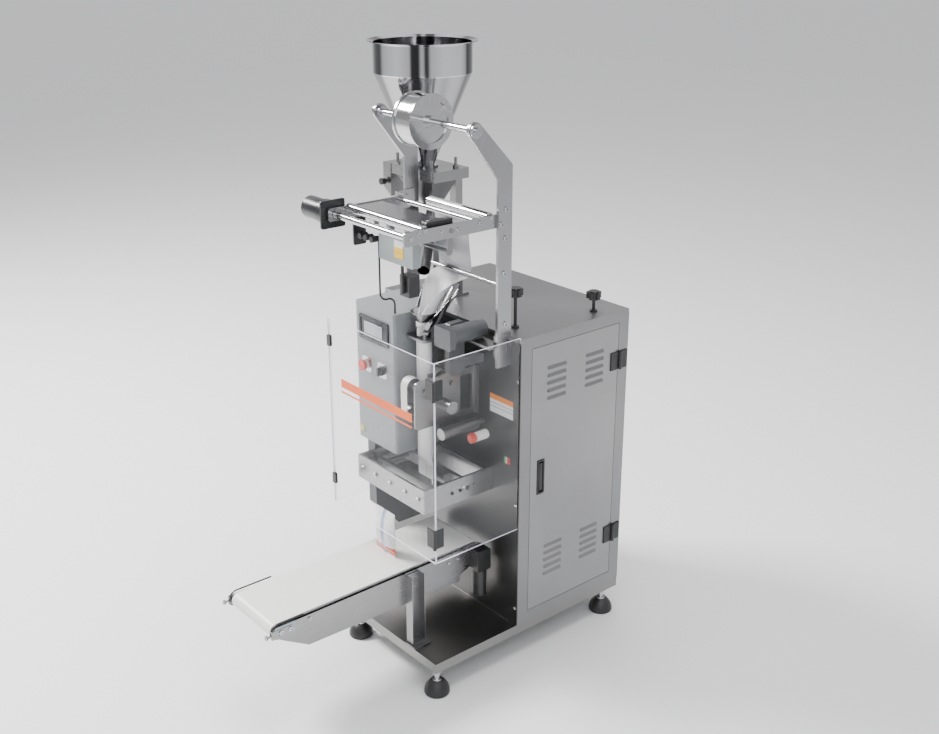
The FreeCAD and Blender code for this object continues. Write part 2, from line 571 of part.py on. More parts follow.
def slide_gate():
    """Flat shut-off gate with a turned pull at its outer end."""
    x, y = HOPPER_X, HOPPER_Y
    blade = block(CHEEK_LEFT + 8, x + 33, y - 32.6, y + 32.6, GATE_SLOT[0] + 0.4, GATE_SLOT[1] - 0.4)
    middle = sum(GATE_SLOT) / 2
    end = CHEEK_LEFT - 12
    return join(blade, rod((CHEEK_LEFT + 12, y, middle), (end, y, middle), 2.5), rod((end, y, middle), (end + 10, y, middle), 8))


CHUTE_NECK = (-112.0, 206.0, 1400.0)
CHUTE_END = (TUBE_X - 6, TUBE_Y + 6, 1270.0)


def chute_solid(grow):
    top = rectangle_at(GATE_LEFT + 20 - grow, GATE_RIGHT - 12 + grow, GATE_FRONT + 6 - grow, GATE_BACK - 46 + grow,
                       GATE_BOTTOM)
    x, y, z = CHUTE_NECK
    upper = Part.makeLoft([top, circle_at(x, y, z, 18 + grow)], True)
    return upper.fuse(rod(CHUTE_NECK, CHUTE_END, 18 + grow)).fuse(Part.makeSphere(18 + grow, Vector(*CHUTE_NECK)))


def lower_funnel():
    """Sheet chute: a square top that narrows to a slanting spout above the forming tube."""
    step = Vector(*CHUTE_END) - Vector(*CHUTE_NECK)
    step.normalize()
    past = Vector(*CHUTE_END) + step * 3
    inner = chute_solid(0).fuse(rod(CHUTE_END, tuple(past), 18))
    return chute_solid(1.5).cut(inner).removeSplitter()


def forming_tube():
    """Thin tube that the film is wrapped round, with a flared mouth."""
    x, y = TUBE_X, TUBE_Y
    bore = TUBE_RADIUS - 1.5
    outline = [(bore, TUBE_END), (TUBE_RADIUS, TUBE_END), (TUBE_RADIUS, TUBE_TOP - 2), (40, TUBE_TOP + 28),
               (40, TUBE_TOP + 31), (38.5, TUBE_TOP + 31), (38.5, TUBE_TOP + 28), (bore, TUBE_TOP - 1)]
    corners = [Vector(r, 0, z) for r, z in outline]
    tube = Part.Face(Part.makePolygon(corners + corners[:1])).revolve(Vector(0, 0, 0), Vector(0, 0, 1), 360)
    tube.translate(Vector(x, y, 0))
    return tube


COLLAR_BOTTOM, COLLAR_TOP = 1085.0, 1215.0


def collar_cone(grow):
    low = circle_at(TUBE_X, TUBE_Y, COLLAR_BOTTOM, SLEEVE_RADIUS + 1.5 + grow)
    high = circle_at(TUBE_X + 8, TUBE_Y + 42, COLLAR_TOP, 76 + grow)
    return Part.makeLoft([low, high], True)


def forming_collar():
    """Polished shoulder: a leaning cone cut on a slant, ending in a short neck round the tube."""
    shell = collar_cone(1.5).cut(collar_cone(0))
    neck = pipe((TUBE_X, TUBE_Y, COLLAR_BOTTOM - 30), (TUBE_X, TUBE_Y, COLLAR_BOTTOM + 1),
                SLEEVE_RADIUS + 3, SLEEVE_RADIUS + 1.5)
    slant = prism([(-200, COLLAR_BOTTOM + 12), (TUBE_Y - 30, COLLAR_BOTTOM + 12), (TUBE_Y + 40, COLLAR_TOP - 25),
                   (160, COLLAR_TOP + 5), (160, COLLAR_TOP + 50), (-200, COLLAR_TOP + 50)], "x", -200, 300)
    return join(shell.cut(slant), neck)


def collar_bracket():
    """Plate that clamps the collar's neck, on a beam from the right upright."""
    z0, z1 = COLLAR_BOTTOM - 24, COLLAR_BOTTOM - 16
    beam = block(26, UPRIGHT_RIGHT, 100, 150, z0, z1)
    tongue = rounded(block(26, 118, -14, 110, z0, z1), 10, "z")
    foot = block(UPRIGHT_RIGHT - 8, UPRIGHT_RIGHT, FRONT - 52, FRONT - 2, z0 - 30, z1 + 30)
    plate = join(beam, tongue, foot)
    return plate.cut(rod((TUBE_X, TUBE_Y, z0 - 1), (TUBE_X, TUBE_Y, z1 + 1), SLEEVE_RADIUS + 3))


# Film draw belts and vertical sealer

DRAW_Y = (TUBE_Y - DRAW_OFFSET, TUBE_Y + DRAW_OFFSET)
BELT_HALF = 15.0


def draw_loop(y, radius, x0, x1):
    low, high = DRAW_Z
    return join(rod((x0, y, low), (x1, y, low), radius), rod((x0, y, high), (x1, y, high), radius),
                block(x0, x1, y - radius, y + radius, low, high))


def draw_belts():
    belts = []
    for y in DRAW_Y:
        x0, x1 = TUBE_X - BELT_HALF, TUBE_X + BELT_HALF
        belts.append(draw_loop(y, PULLEY_RADIUS + DRAW_BELT, x0, x1).cut(
            draw_loop(y, PULLEY_RADIUS + 0.4, x0 - 1, x1 + 1)))
    return group(belts)


def draw_pulley(y):
    """Driven pulley, flanged, with its shaft running back to the arm."""
    z = DRAW_Z[1]
    body = rod((TUBE_X - BELT_HALF, y, z), (TUBE_X + BELT_HALF, y, z), PULLEY_RADIUS)
    return join(body, rod((TUBE_X, y, z), (ARM_X + 14, y, z), 7))


def draw_frames():
    """Arm plate from the front panel that carries both belt units, with their idler wheels."""
    low, high = DRAW_Z
    plate = rounded(block(ARM_X, ARM_X + 6, DRAW_Y[0] - 34, FRONT, low - 34, high + 34), 14, "x")
    window = rounded(block(ARM_X - 1, ARM_X + 7, DRAW_Y[1] + 36, FRONT - 16, low - 14, high + 14), 6, "x")
    plate = plate.cut(window)
    parts = [plate, block(ARM_X - 14, ARM_X + 20, FRONT - 6, FRONT, low - 34, high + 34)]
    for y in DRAW_Y:
        parts.append(rod((TUBE_X - BELT_HALF, y, low), (TUBE_X + BELT_HALF, y, low), PULLEY_RADIUS))
        parts.append(rod((TUBE_X, y, low), (ARM_X, y, low), 7))
    frame = join(*parts)
    for y in DRAW_Y:
        frame = frame.cut(rod((ARM_X - 1, y, high), (ARM_X + 7, y, high), 7 + RUNNING_FIT))
    return frame.cut(rod((ARM_X - 1, TUBE_Y, 872), (ARM_X + 7, TUBE_Y, 872), 6 + RUNNING_FIT))


def draw_gearmotor():
    """Motor above the arm, with a gear case that reaches down to the two pulley shafts."""
    case = rounded(block(ARM_X + 22, ARM_X + 44, 40, 99, 960, 1125), 8, "x")
    motor = rod((ARM_X + 70, 20, 1100), (ARM_X + 70, 130, 1100), 28)
    cap = rod((ARM_X + 70, 130, 1100), (ARM_X + 70, 150, 1100), 25)
    head = rounded(block(ARM_X + 22, ARM_X + 98, 0, 22, 1062, 1128), 6, "y")
    foot = block(ARM_X + 22, ARM_X + 44, 90, FRONT, 975, 1000)
    return join(case, motor, cap, head, foot, block(ARM_X + 22, ARM_X + 44, 20, 60, 1070, 1120))


def vertical_seal_bar():
    """Heated bar that presses the film's overlap against the tube, on its piston rod."""
    x0 = TUBE_X + SLEEVE_RADIUS + 0.6
    bar = rounded(block(x0, x0 + 12, TUBE_Y - 10, TUBE_Y + 10, 800, 950), 2, "z")
    stem = rod((x0 + 10, TUBE_Y, 872), (ARM_X + 26, TUBE_Y, 872), 6)
    return join(bar, stem)


def air_cylinders():
    """Two small cylinders: one behind the vertical seal bar, one for the sealing jaws."""
    x0 = ARM_X + 6
    seal = join(rod((x0, TUBE_Y, 872), (x0 + 66, TUBE_Y, 872), 18), rod((x0 + 66, TUBE_Y, 872),
                                                                       (x0 + 74, TUBE_Y, 872), 20))
    seal = seal.cut(rod((x0 - 1, TUBE_Y, 872), (x0 + 50, TUBE_Y, 872), 6 + RUNNING_FIT))
    jaw = join(rod((168, 20, 775), (168, 150, 775), 17), rod((168, 150, 775), (168, FRONT, 775), 8),
               rod((168, 8, 775), (168, 20, 775), 19))
    return group([seal, jaw])


# Film and pouch

def film():
    """Film threaded from the rear roller, down behind the stay rod and round the tube."""
    x0, x1 = FILM_LEFT, FILM_RIGHT
    back = REAR_ROLLER_Y + 14.6
    rod_back = LOWER_ROD_Y + 6.6
    y, z = LOWER_ROD_Y, LOWER_ROD_Z
    web = prism([(back, GUIDE_Z), (back + 0.6, GUIDE_Z), (rod_back + 0.6, z), (y + 5.9, z - 5.1),
                 (y + 0.9, z - 7.85), (y - 1.6, z - 8.6), (y - 2, z - 8), (y + 0.5, z - 7.2),
                 (y + 5.3, z - 4.6), (rod_back, z)], "x", x0, x1)
    slope = Part.makeLoft([
        Part.makePolygon([Vector(x0, y - 2, z - 8), Vector(x1, y - 2, z - 8), Vector(x1, y - 1.6, z - 8.6),
                          Vector(x0, y - 1.6, z - 8.6), Vector(x0, y - 2, z - 8)]),
        Part.makePolygon([Vector(TUBE_X - 24, TUBE_Y + 25, 1112), Vector(TUBE_X + 24, TUBE_Y + 25, 1112),
                          Vector(TUBE_X + 24, TUBE_Y + 25.6, 1111.4), Vector(TUBE_X - 24, TUBE_Y + 25.6, 1111.4),
                          Vector(TUBE_X - 24, TUBE_Y + 25, 1112)])], True, True)
    sleeve = pipe((TUBE_X, TUBE_Y, TUBE_END), (TUBE_X, TUBE_Y, 1112), SLEEVE_RADIUS, SLEEVE_RADIUS - 1.2)
    wedge_low = Part.Wire(Part.Ellipse(Vector(TUBE_X, TUBE_Y, 640), 37, 0.3).toShape())
    wedge = Part.makeLoft([circle_at(TUBE_X, TUBE_Y, TUBE_END, SLEEVE_RADIUS), wedge_low], True)
    strip = block(TUBE_X - 37, TUBE_X + 37, TUBE_Y - 0.2, TUBE_Y + 0.2, 566, 640)
    sheet = join(web, slope).cut(forming_collar())
    sheet = max(sheet.Solids, key=lambda solid: solid.Volume)
    return group([sheet, sleeve, wedge, strip])


POUCH_X, POUCH_Y = 54.0, -128.0


def pouch():
    """A filled pouch standing on the belt: pillow body between flat seals."""
    x0, x1 = POUCH_X - 52, POUCH_X + 52
    z0 = BELT_TOP
    profile = [(0, 0), (2, 0), (2, 14), (16, 40), (15, 90), (3, 140), (2, 152), (-2, 152), (-3, 140), (-15, 90),
               (-16, 40), (-2, 14), (-2, 0)]
    body = prism([(POUCH_Y + a, z0 + b) for a, b in profile], "x", x0, x1)
    return body


# Control box

def control_box():
    box = rounded(block(BOX_LEFT, BOX_RIGHT, BOX_FRONT, BOX_BACK, BOX_BOTTOM, BOX_TOP), 10, "z")
    return box


def control_screen():
    frame = rounded(block(BOX_LEFT + 26, BOX_LEFT + 178, BOX_FRONT - 5, BOX_FRONT, 1020, 1099), 4, "y")
    return frame.cut(rounded(block(BOX_LEFT + 36, BOX_LEFT + 168, BOX_FRONT - 6, BOX_FRONT - 3, 1030, 1089), 2, "y"))


BUTTON_Z = 937.0
STOP_X, SELECTOR_X = BOX_LEFT + 58, BOX_LEFT + 140


def stop_button():
    """Mushroom button with a short stem in its collar."""
    y = BOX_FRONT
    return join(rod((STOP_X, y - 6.4, BUTTON_Z), (STOP_X, y - 14, BUTTON_Z), 9),
                rod((STOP_X, y - 14, BUTTON_Z), (STOP_X, y - 22, BUTTON_Z), 18))


def selector_switch():
    y = BOX_FRONT
    return join(rod((SELECTOR_X, y - 0.4, BUTTON_Z), (SELECTOR_X, y - 8, BUTTON_Z), 15),
                rounded(block(SELECTOR_X - 4, SELECTOR_X + 4, y - 20, y - 7, BUTTON_Z - 14, BUTTON_Z + 14), 3, "y"))


def support_column():
    """Folded bracket on the front panel that carries the control box."""
    outline = [(-29, BOX_BOTTOM), (FRONT, BOX_BOTTOM), (FRONT, 330), (60, 330), (-29, 430)]
    return prism(outline, "x", -170, -131)


# Sealing jaws

def jaw_frame():
    """Open rectangular frame of thick plates round the two jaws, fixed to the front panel."""
    plates = [block(JAW_LEFT, JAW_RIGHT, JAW_FRONT, JAW_FRONT + JAW_PLATE, JAW_BOTTOM, JAW_TOP),
              block(JAW_LEFT, JAW_RIGHT, JAW_BACK - JAW_PLATE, JAW_BACK, JAW_BOTTOM, JAW_TOP)]
    for x in (JAW_LEFT, JAW_RIGHT - JAW_PLATE):
        plates.append(block(x, x + JAW_PLATE, JAW_FRONT, FRONT, JAW_BOTTOM, JAW_TOP))
    frame = join(*plates)
    for x in (JAW_LEFT - 1, JAW_RIGHT - JAW_PLATE - 1):
        for y in (60, 78, 96):
            frame = frame.cut(rod((x, y, 600), (x + JAW_PLATE + 2, y, 600), 4))
    return frame


def jaw_guide_rods():
    return [rod((x, JAW_FRONT + JAW_PLATE, ROD_Z), (x, JAW_BACK - JAW_PLATE, ROD_Z), ROD_RADIUS) for x in ROD_X]


def jaw(way):
    """Cross-head on the two guide rods with a serrated sealing bar; way is -1 for the front one."""
    face = TUBE_Y + way * JAW_OPEN
    rear = face + way * 22
    low, high = sorted((rear, rear + way * 14))
    head = block(ROD_X[0] - 18, ROD_X[1] + 18, low, high, ROD_Z - 18, ROD_Z + 18)
    low, high = sorted((face, rear))
    bar = block(TUBE_X - 62, TUBE_X + 62, low, high, ROD_Z - 16, ROD_Z + 16)
    body = join(head, bar)
    for i in range(5):
        z = ROD_Z - 13 + 6 * i
        low, high = sorted((face, face + way * 1))
        body = body.cut(block(TUBE_X - 63, TUBE_X + 63, low - 0.01, high, z, z + 2))
    for x in ROD_X:
        body = body.cut(rod((x, JAW_FRONT, ROD_Z), (x, JAW_BACK, ROD_Z), ROD_RADIUS + RUNNING_FIT))
    if way > 0:
        body = body.cut(block(TUBE_X - 56, TUBE_X + 56, face - 1, rear + 1, ROD_Z - 1.2, ROD_Z + 1.2))
    return body


def cutting_knife():
    """Thin blade that rests inside the rear jaw's slot."""
    face = TUBE_Y + JAW_OPEN
    blade = block(TUBE_X - 55, TUBE_X + 55, face + 2, face + 21.6, ROD_Z - 0.8, ROD_Z + 0.8)
    return blade


# Conveyor

ROLLER_Z = BELT_TOP - BELT_THICK - ROLLER_RADIUS - 0.4


def belt_loop(radius, x0, x1):
    return join(rod((x0, NOSE_Y, ROLLER_Z), (x1, NOSE_Y, ROLLER_Z), radius),
                rod((x0, TAIL_Y, ROLLER_Z), (x1, TAIL_Y, ROLLER_Z), radius),
                block(x0, x1, NOSE_Y, TAIL_Y, ROLLER_Z - radius, ROLLER_Z + radius))


def conveyor_belt():
    outer = belt_loop(ROLLER_RADIUS + 0.4 + BELT_THICK, BELT_LEFT, BELT_RIGHT)
    return outer.cut(belt_loop(ROLLER_RADIUS + 0.4, BELT_LEFT - 1, BELT_RIGHT + 1))


def conveyor_frame():
    """Two deep side plates with a slider bed and cross stays between them."""
    outline = [(NOSE_Y + 30, 300), (NOSE_Y + 100, 258), (TAIL_Y - 60, 246), (TAIL_Y - 60, 270), (TAIL_Y + 20, 300),
               (TAIL_Y + 20, 358), (NOSE_Y - 4, 358), (NOSE_Y - 4, 322)]
    parts = []
    for x in (BELT_LEFT - 2 - PLATE_THICK, BELT_RIGHT + 2):
        plate = prism(outline, "x", x, x + PLATE_THICK)
        for y in (NOSE_Y, TAIL_Y):
            plate = plate.cut(rod((x - 1, y, ROLLER_Z), (x + PLATE_THICK + 1, y, ROLLER_Z), 8 + RUNNING_FIT))
        parts.append(plate)
        outer = x + PLATE_THICK if x > 0 else x - 10
        ear = block(outer, outer + 10, NOSE_Y - 26, NOSE_Y + 44, ROLLER_Z - 15, ROLLER_Z + 12)
        ear = ear.cut(rod((outer - 1, NOSE_Y, ROLLER_Z), (outer + 11, NOSE_Y, ROLLER_Z), 8 + RUNNING_FIT))
        bolt = rod((outer + 5, FRONT - CONVEYOR_REACH, ROLLER_Z - 2), (outer + 5, NOSE_Y - 26, ROLLER_Z - 2), 3.5)
        head = rod((outer + 5, FRONT - CONVEYOR_REACH, ROLLER_Z - 2),
                   (outer + 5, FRONT - CONVEYOR_REACH + 6, ROLLER_Z - 2), 7)
        parts.append(join(ear, bolt, head))
    top = ROLLER_Z + ROLLER_RADIUS
    bed = block(BELT_LEFT - 2, BELT_RIGHT + 2, NOSE_Y + 26, TAIL_Y - 26, top - 3, top)
    stays = [rod((BELT_LEFT - 2, y, 300), (BELT_RIGHT + 2, y, 300), 7) for y in (NOSE_Y + 120, -250, 40)]
    return join(*parts, bed, *stays)


def conveyor_roller(y, overhang):
    return join(rod((BELT_LEFT, y, ROLLER_Z), (BELT_RIGHT, y, ROLLER_Z), ROLLER_RADIUS),
                rod((BELT_LEFT - 12, y, ROLLER_Z), (BELT_RIGHT + 12 + overhang, y, ROLLER_Z), 8))


def conveyor_post():
    """Folded channel from the base to the conveyor's side plate, with a foot bracket."""
    x0 = BELT_RIGHT + 2 + PLATE_THICK
    post = block(x0, x0 + 32, -150, -100, BASE_TOP + 4, 352)
    post = post.cut(block(x0 + 3, x0 + 33, -147, -103, BASE_TOP + 10, 353))
    foot = block(x0, x0 + 48, -156, -94, BASE_TOP, BASE_TOP + 4)
    return join(post, foot)


def conveyor_gearmotor():
    """Right-angle gearmotor on the drive roller's shaft."""
    x0 = BELT_RIGHT + 2 + PLATE_THICK
    gearbox = rounded(block(x0, x0 + 50, TAIL_Y - 26, TAIL_Y + 28, ROLLER_Z - 60, ROLLER_Z + 14), 6, "x")
    gearbox = gearbox.cut(rod((x0 - 1, TAIL_Y, ROLLER_Z), (x0 + 30, TAIL_Y, ROLLER_Z), 8 + RUNNING_FIT))
    motor = rod((x0 + 25, TAIL_Y, ROLLER_Z - 60), (x0 + 25, TAIL_Y, ROLLER_Z - 150), 24)
    return join(gearbox, motor)


# Guard

def guard_sides():
    """Clear side panels of the guard, fixed to the cabinet front."""
    back, front = FRONT, GUARD_FRONT + GUARD_SHEET + 1
    return group([block(RIGHT - GUARD_SHEET, RIGHT, front, back, GUARD_BOTTOM, GUARD_TOP),
                  block(GUARD_LEFT, GUARD_LEFT + GUARD_SHEET, front, back, GUARD_BOTTOM, GUARD_TOP)])


def guard_door():
    return block(GUARD_LEFT, RIGHT - 0.5, GUARD_FRONT, GUARD_FRONT + GUARD_SHEET, GUARD_BOTTOM, GUARD_TOP)


def guard_latches():
    return [rounded(block(GUARD_LEFT + 4, GUARD_LEFT + 22, GUARD_FRONT - 8, GUARD_FRONT, z - 18, z + 18), 3, "y")
            for z in (551, 1025)]


def main():
    door_fixed, door_moving = cabinet_door_hinges()
    guard_fixed, guard_moving = guard_hinges()
    nodes = {
        "base_frame": base_frame(), "foot_pads": foot_pads(), "foot_stems": foot_stems(),
        "cabinet_shell": cabinet_shell(), "front_panel": front_panel(), "top_lid": top_lid(),
        "button_head_screws": button_head_screws(), "side_door": side_door(), "door_handle": door_handle(),
        "handle_lever": handle_lever(), "hinge_leaves": group(door_fixed + guard_fixed),
        "door_hinge_leaves": group(door_moving), "star_knobs": star_knobs(),
        "drive_gearmotor": drive_gearmotor(), "electrical_plate": electrical_plate(),
        "uprights": uprights(), "shaft_bearings": shaft_bearings(), "roll_shaft": roll_shaft(),
        "roll_chuck": roll_chuck(), "film_frame": film_frame(), "unwind_roller": unwind_roller(),
        "front_guide_roller": front_guide_roller(), "rear_guide_roller": rear_guide_roller(),
        "dancer_arm": dancer_arm(), "unwind_gearmotor": unwind_gearmotor(), "photo_eye": photo_eye(),
        "sensor_cable": sensor_cable(),
        "hopper": hopper(), "gate_housing": gate_housing(), "slide_gate": slide_gate(),
        "lower_funnel": lower_funnel(), "forming_tube": forming_tube(), "forming_collar": forming_collar(),
        "collar_bracket": collar_bracket(), "draw_belts": draw_belts(),
        "draw_pulley_front": draw_pulley(DRAW_Y[0]), "draw_pulley_rear": draw_pulley(DRAW_Y[1]),
        "draw_frames": draw_frames(), "draw_gearmotor": draw_gearmotor(),
        "vertical_seal_bar": vertical_seal_bar(), "air_cylinders": air_cylinders(), "film": film(),
        "pouch": pouch(), "control_box": control_box(), "control_screen": control_screen(),
        "stop_button": stop_button(), "selector_switch": selector_switch(), "support_column": support_column(),
        "jaw_frame": group([jaw_frame()] + jaw_guide_rods()), "front_jaw": jaw(-1),
        "rear_jaw": group([jaw(1), cutting_knife()]), "conveyor_belt": conveyor_belt(), "conveyor_frame": conveyor_frame(),
        "conveyor_tail_roller": conveyor_roller(NOSE_Y, 0), "conveyor_drive_roller": conveyor_roller(TAIL_Y, 18),
        "conveyor_post": conveyor_post(), "conveyor_gearmotor": conveyor_gearmotor(),
        "guard_sides": guard_sides(), "guard_door": guard_door(),
    }
    fittings = group(guard_moving + guard_latches())
    nodes["guard_fittings"] = fittings
    for name, shape in nodes.items():
        shape.exportStep("parts/" + name + ".step")
    print(len(nodes), "nodes")


main()
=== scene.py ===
import bpy
import bmesh
import math
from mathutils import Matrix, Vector


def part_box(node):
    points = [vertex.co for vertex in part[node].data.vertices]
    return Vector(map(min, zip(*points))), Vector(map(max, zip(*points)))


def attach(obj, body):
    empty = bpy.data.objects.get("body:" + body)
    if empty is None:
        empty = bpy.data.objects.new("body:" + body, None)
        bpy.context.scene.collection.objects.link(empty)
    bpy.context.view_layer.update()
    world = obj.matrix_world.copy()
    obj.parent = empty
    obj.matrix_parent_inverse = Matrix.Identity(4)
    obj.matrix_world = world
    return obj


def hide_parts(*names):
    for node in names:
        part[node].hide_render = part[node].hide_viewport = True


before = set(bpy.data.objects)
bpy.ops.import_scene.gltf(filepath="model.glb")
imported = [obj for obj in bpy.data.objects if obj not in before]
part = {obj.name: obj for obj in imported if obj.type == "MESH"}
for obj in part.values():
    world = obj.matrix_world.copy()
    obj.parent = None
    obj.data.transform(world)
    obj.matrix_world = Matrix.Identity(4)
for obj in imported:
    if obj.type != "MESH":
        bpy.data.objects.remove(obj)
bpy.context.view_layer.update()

# Studio. The machine stands on a wide pale floor under a large soft ceiling of light,
# with a softer, cooler fill from the door side, so that polished steel has something to mirror.
camera_data = bpy.data.cameras.new("studio_camera")
camera_data.sensor_width = 36.0
camera_data.lens = 45.24
camera_data.shift_y = -0.0323
camera_data.clip_end = 200.0
camera = bpy.data.objects.new("studio_camera", camera_data)
camera.location = (2.7482, -2.0405, 2.2770)
camera.rotation_euler = (math.pi / 2 - 0.345, 0.0, 0.8732)
bpy.context.scene.collection.objects.link(camera)
bpy.context.scene.camera = camera

floor_mesh = bpy.data.meshes.new("studio_floor")
floor_mesh.from_pydata([(-90, -90, 0), (90, -90, 0), (90, 90, 0), (-90, 90, 0)], [], [(0, 1, 2, 3)])
floor = bpy.data.objects.new("studio_floor", floor_mesh)
bpy.context.scene.collection.objects.link(floor)
floor_paint = bpy.data.materials.new("floor_paint")
floor_paint.use_nodes = True
floor_shader = floor_paint.node_tree.nodes["Principled BSDF"]
floor_shader.inputs["Base Color"].default_value = (0.86, 0.865, 0.87, 1)
floor_shader.inputs["Roughness"].default_value = 0.55
floor_mesh.materials.append(floor_paint)

for lamp_name, place, turn, size, watts, tint in (
        ("soft_key", (-3.6, -1.9, 4.4), (math.radians(43), 0, math.radians(-62)), 1.5, 640,
         (1.0, 0.985, 0.96)),
        ("soft_fill", (3.6, -2.6, 3.2), (math.radians(58), 0, math.radians(52)), 2.4, 50, (0.94, 0.96, 1.0)),
        ("soft_top", (0.1, 0.6, 5.0), (0, 0, 0), 2.6, 175, (1.0, 1.0, 1.0))):
    lamp_data = bpy.data.lights.new(lamp_name, "AREA")
    lamp_data.shape = "SQUARE"
    lamp_data.size = size
    lamp_data.energy = watts
    lamp_data.color = tint
    lamp = bpy.data.objects.new(lamp_name, lamp_data)
    lamp.location = place
    lamp.rotation_euler = turn
    bpy.context.scene.collection.objects.link(lamp)

room = bpy.data.worlds.new("studio_room")
room.use_nodes = True
bpy.context.scene.world = room
room_nodes, room_links = room.node_tree.nodes, room.node_tree.links
room_background = room_nodes["Background"]
room_background.inputs["Strength"].default_value = 0.78
direction = room_nodes.new("ShaderNodeTexCoord")
round_the_room = room_nodes.new("ShaderNodeTexGradient")
round_the_room.gradient_type = "RADIAL"
room_links.new(direction.outputs["Generated"], round_the_room.inputs["Vector"])
wall_tones = room_nodes.new("ShaderNodeValToRGB")
room_links.new(round_the_room.outputs["Fac"], wall_tones.inputs["Fac"])
for position, tone in ((0.03, 0.95), (0.09, 0.3), (0.14, 1.1), (0.2, 0.55), (0.3, 1.0), (0.37, 0.42),
                       (0.42, 1.15), (0.52, 0.7), (0.6, 1.05), (0.68, 0.35), (0.73, 1.15), (0.82, 0.6),
                       (0.9, 1.1)):
    stop = wall_tones.color_ramp.elements.new(position)
    stop.color = (tone, tone, tone * 1.02, 1)
wall_tones.color_ramp.elements[0].color = (0.8, 0.8, 0.82, 1)
wall_tones.color_ramp.elements[-1].color = (0.8, 0.8, 0.82, 1)
height = room_nodes.new("ShaderNodeSeparateXYZ")
room_links.new(direction.outputs["Generated"], height.inputs["Vector"])
ceiling = room_nodes.new("ShaderNodeMapRange")
ceiling.inputs["From Min"].default_value = 0.35
ceiling.inputs["From Max"].default_value = 0.8
room_links.new(height.outputs["Z"], ceiling.inputs["Value"])
overhead = room_nodes.new("ShaderNodeMix")
overhead.data_type = "RGBA"
overhead.inputs["B"].default_value = (1.15, 1.16, 1.18, 1)
room_links.new(ceiling.outputs["Result"], overhead.inputs["Factor"])
room_links.new(wall_tones.outputs["Color"], overhead.inputs["A"])
room_links.new(overhead.outputs["Result"], room_background.inputs["Color"])


# Base frame. Square stainless tube, mitred and welded, with a folded tray let in between the rails.
# The tube is brushed along its length and the welds are dressed flush.
def new_finish(name):
    finish = bpy.data.materials.new(name)
    finish.use_nodes = True
    return finish, finish.node_tree.nodes, finish.node_tree.links, finish.node_tree.nodes["Principled BSDF"]


def stretched_grain(nodes, links, stretch, scale):
    where = nodes.new("ShaderNodeTexCoord")
    squeeze = nodes.new("ShaderNodeMapping")
    squeeze.inputs["Scale"].default_value = stretch
    links.new(where.outputs["Object"], squeeze.inputs["Vector"])
    grain = nodes.new("ShaderNodeTexNoise")
    grain.inputs["Scale"].default_value = scale
    grain.inputs["Detail"].default_value = 3.0
    links.new(squeeze.outputs["Vector"], grain.inputs["Vector"])
    return grain, where


def vary_gloss(nodes, links, noise, low, high):
    """Let the roughness wander between low and high with a noise."""
    gloss = nodes.new("ShaderNodeMapRange")
    gloss.inputs["To Min"].default_value = low
    gloss.inputs["To Max"].default_value = high
    links.new(noise.outputs["Fac"], gloss.inputs["Value"])
    links.new(gloss.outputs["Result"], nodes["Principled BSDF"].inputs["Roughness"])
    return gloss


def raise_grain(nodes, links, grain, strength, distance):
    """Lift the surface by a noise, as brushing, pores or creases do."""
    lift = nodes.new("ShaderNodeBump")
    lift.inputs["Strength"].default_value = strength
    lift.inputs["Distance"].default_value = distance
    links.new(grain.outputs["Fac"], lift.inputs["Height"])
    links.new(lift.outputs["Normal"], nodes["Principled BSDF"].inputs["Normal"])


def brushed_steel(name, tint, rough, grain_runs, strength=0.12):
    finish, nodes, links, shader = new_finish(name)
    stretch = {"x": (6, 900, 900), "y": (900, 6, 900), "z": (900, 900, 6)}[grain_runs]
    grain, where = stretched_grain(nodes, links, stretch, 1.0)
    cloud = nodes.new("ShaderNodeTexNoise")
    cloud.inputs["Scale"].default_value = 4.5
    cloud.inputs["Detail"].default_value = 5.0
    links.new(where.outputs["Object"], cloud.inputs["Vector"])
    tone = nodes.new("ShaderNodeValToRGB")
    tone.color_ramp.elements[0].position = 0.3
    tone.color_ramp.elements[0].color = (tint[0] * 0.9, tint[1] * 0.9, tint[2] * 0.9, 1)
    tone.color_ramp.elements[1].position = 0.72
    tone.color_ramp.elements[1].color = (tint[0], tint[1], tint[2], 1)
    links.new(cloud.outputs["Fac"], tone.inputs["Fac"])
    links.new(tone.outputs["Color"], shader.inputs["Base Color"])
    vary_gloss(nodes, links, grain, rough - 0.07, rough + 0.09)
    raise_grain(nodes, links, grain, strength, 0.0004)
    shader.inputs["Metallic"].default_value = 1.0
    shader.inputs["Anisotropic"].default_value = 0.4
    return finish


def finish_part(node, finish):
    part[node].data.materials.clear()
    part[node].data.materials.append(finish)


tube_steel = brushed_steel("brushed_tube_steel", (0.30, 0.295, 0.29), 0.3, "x")
finish_part("base_frame", tube_steel)


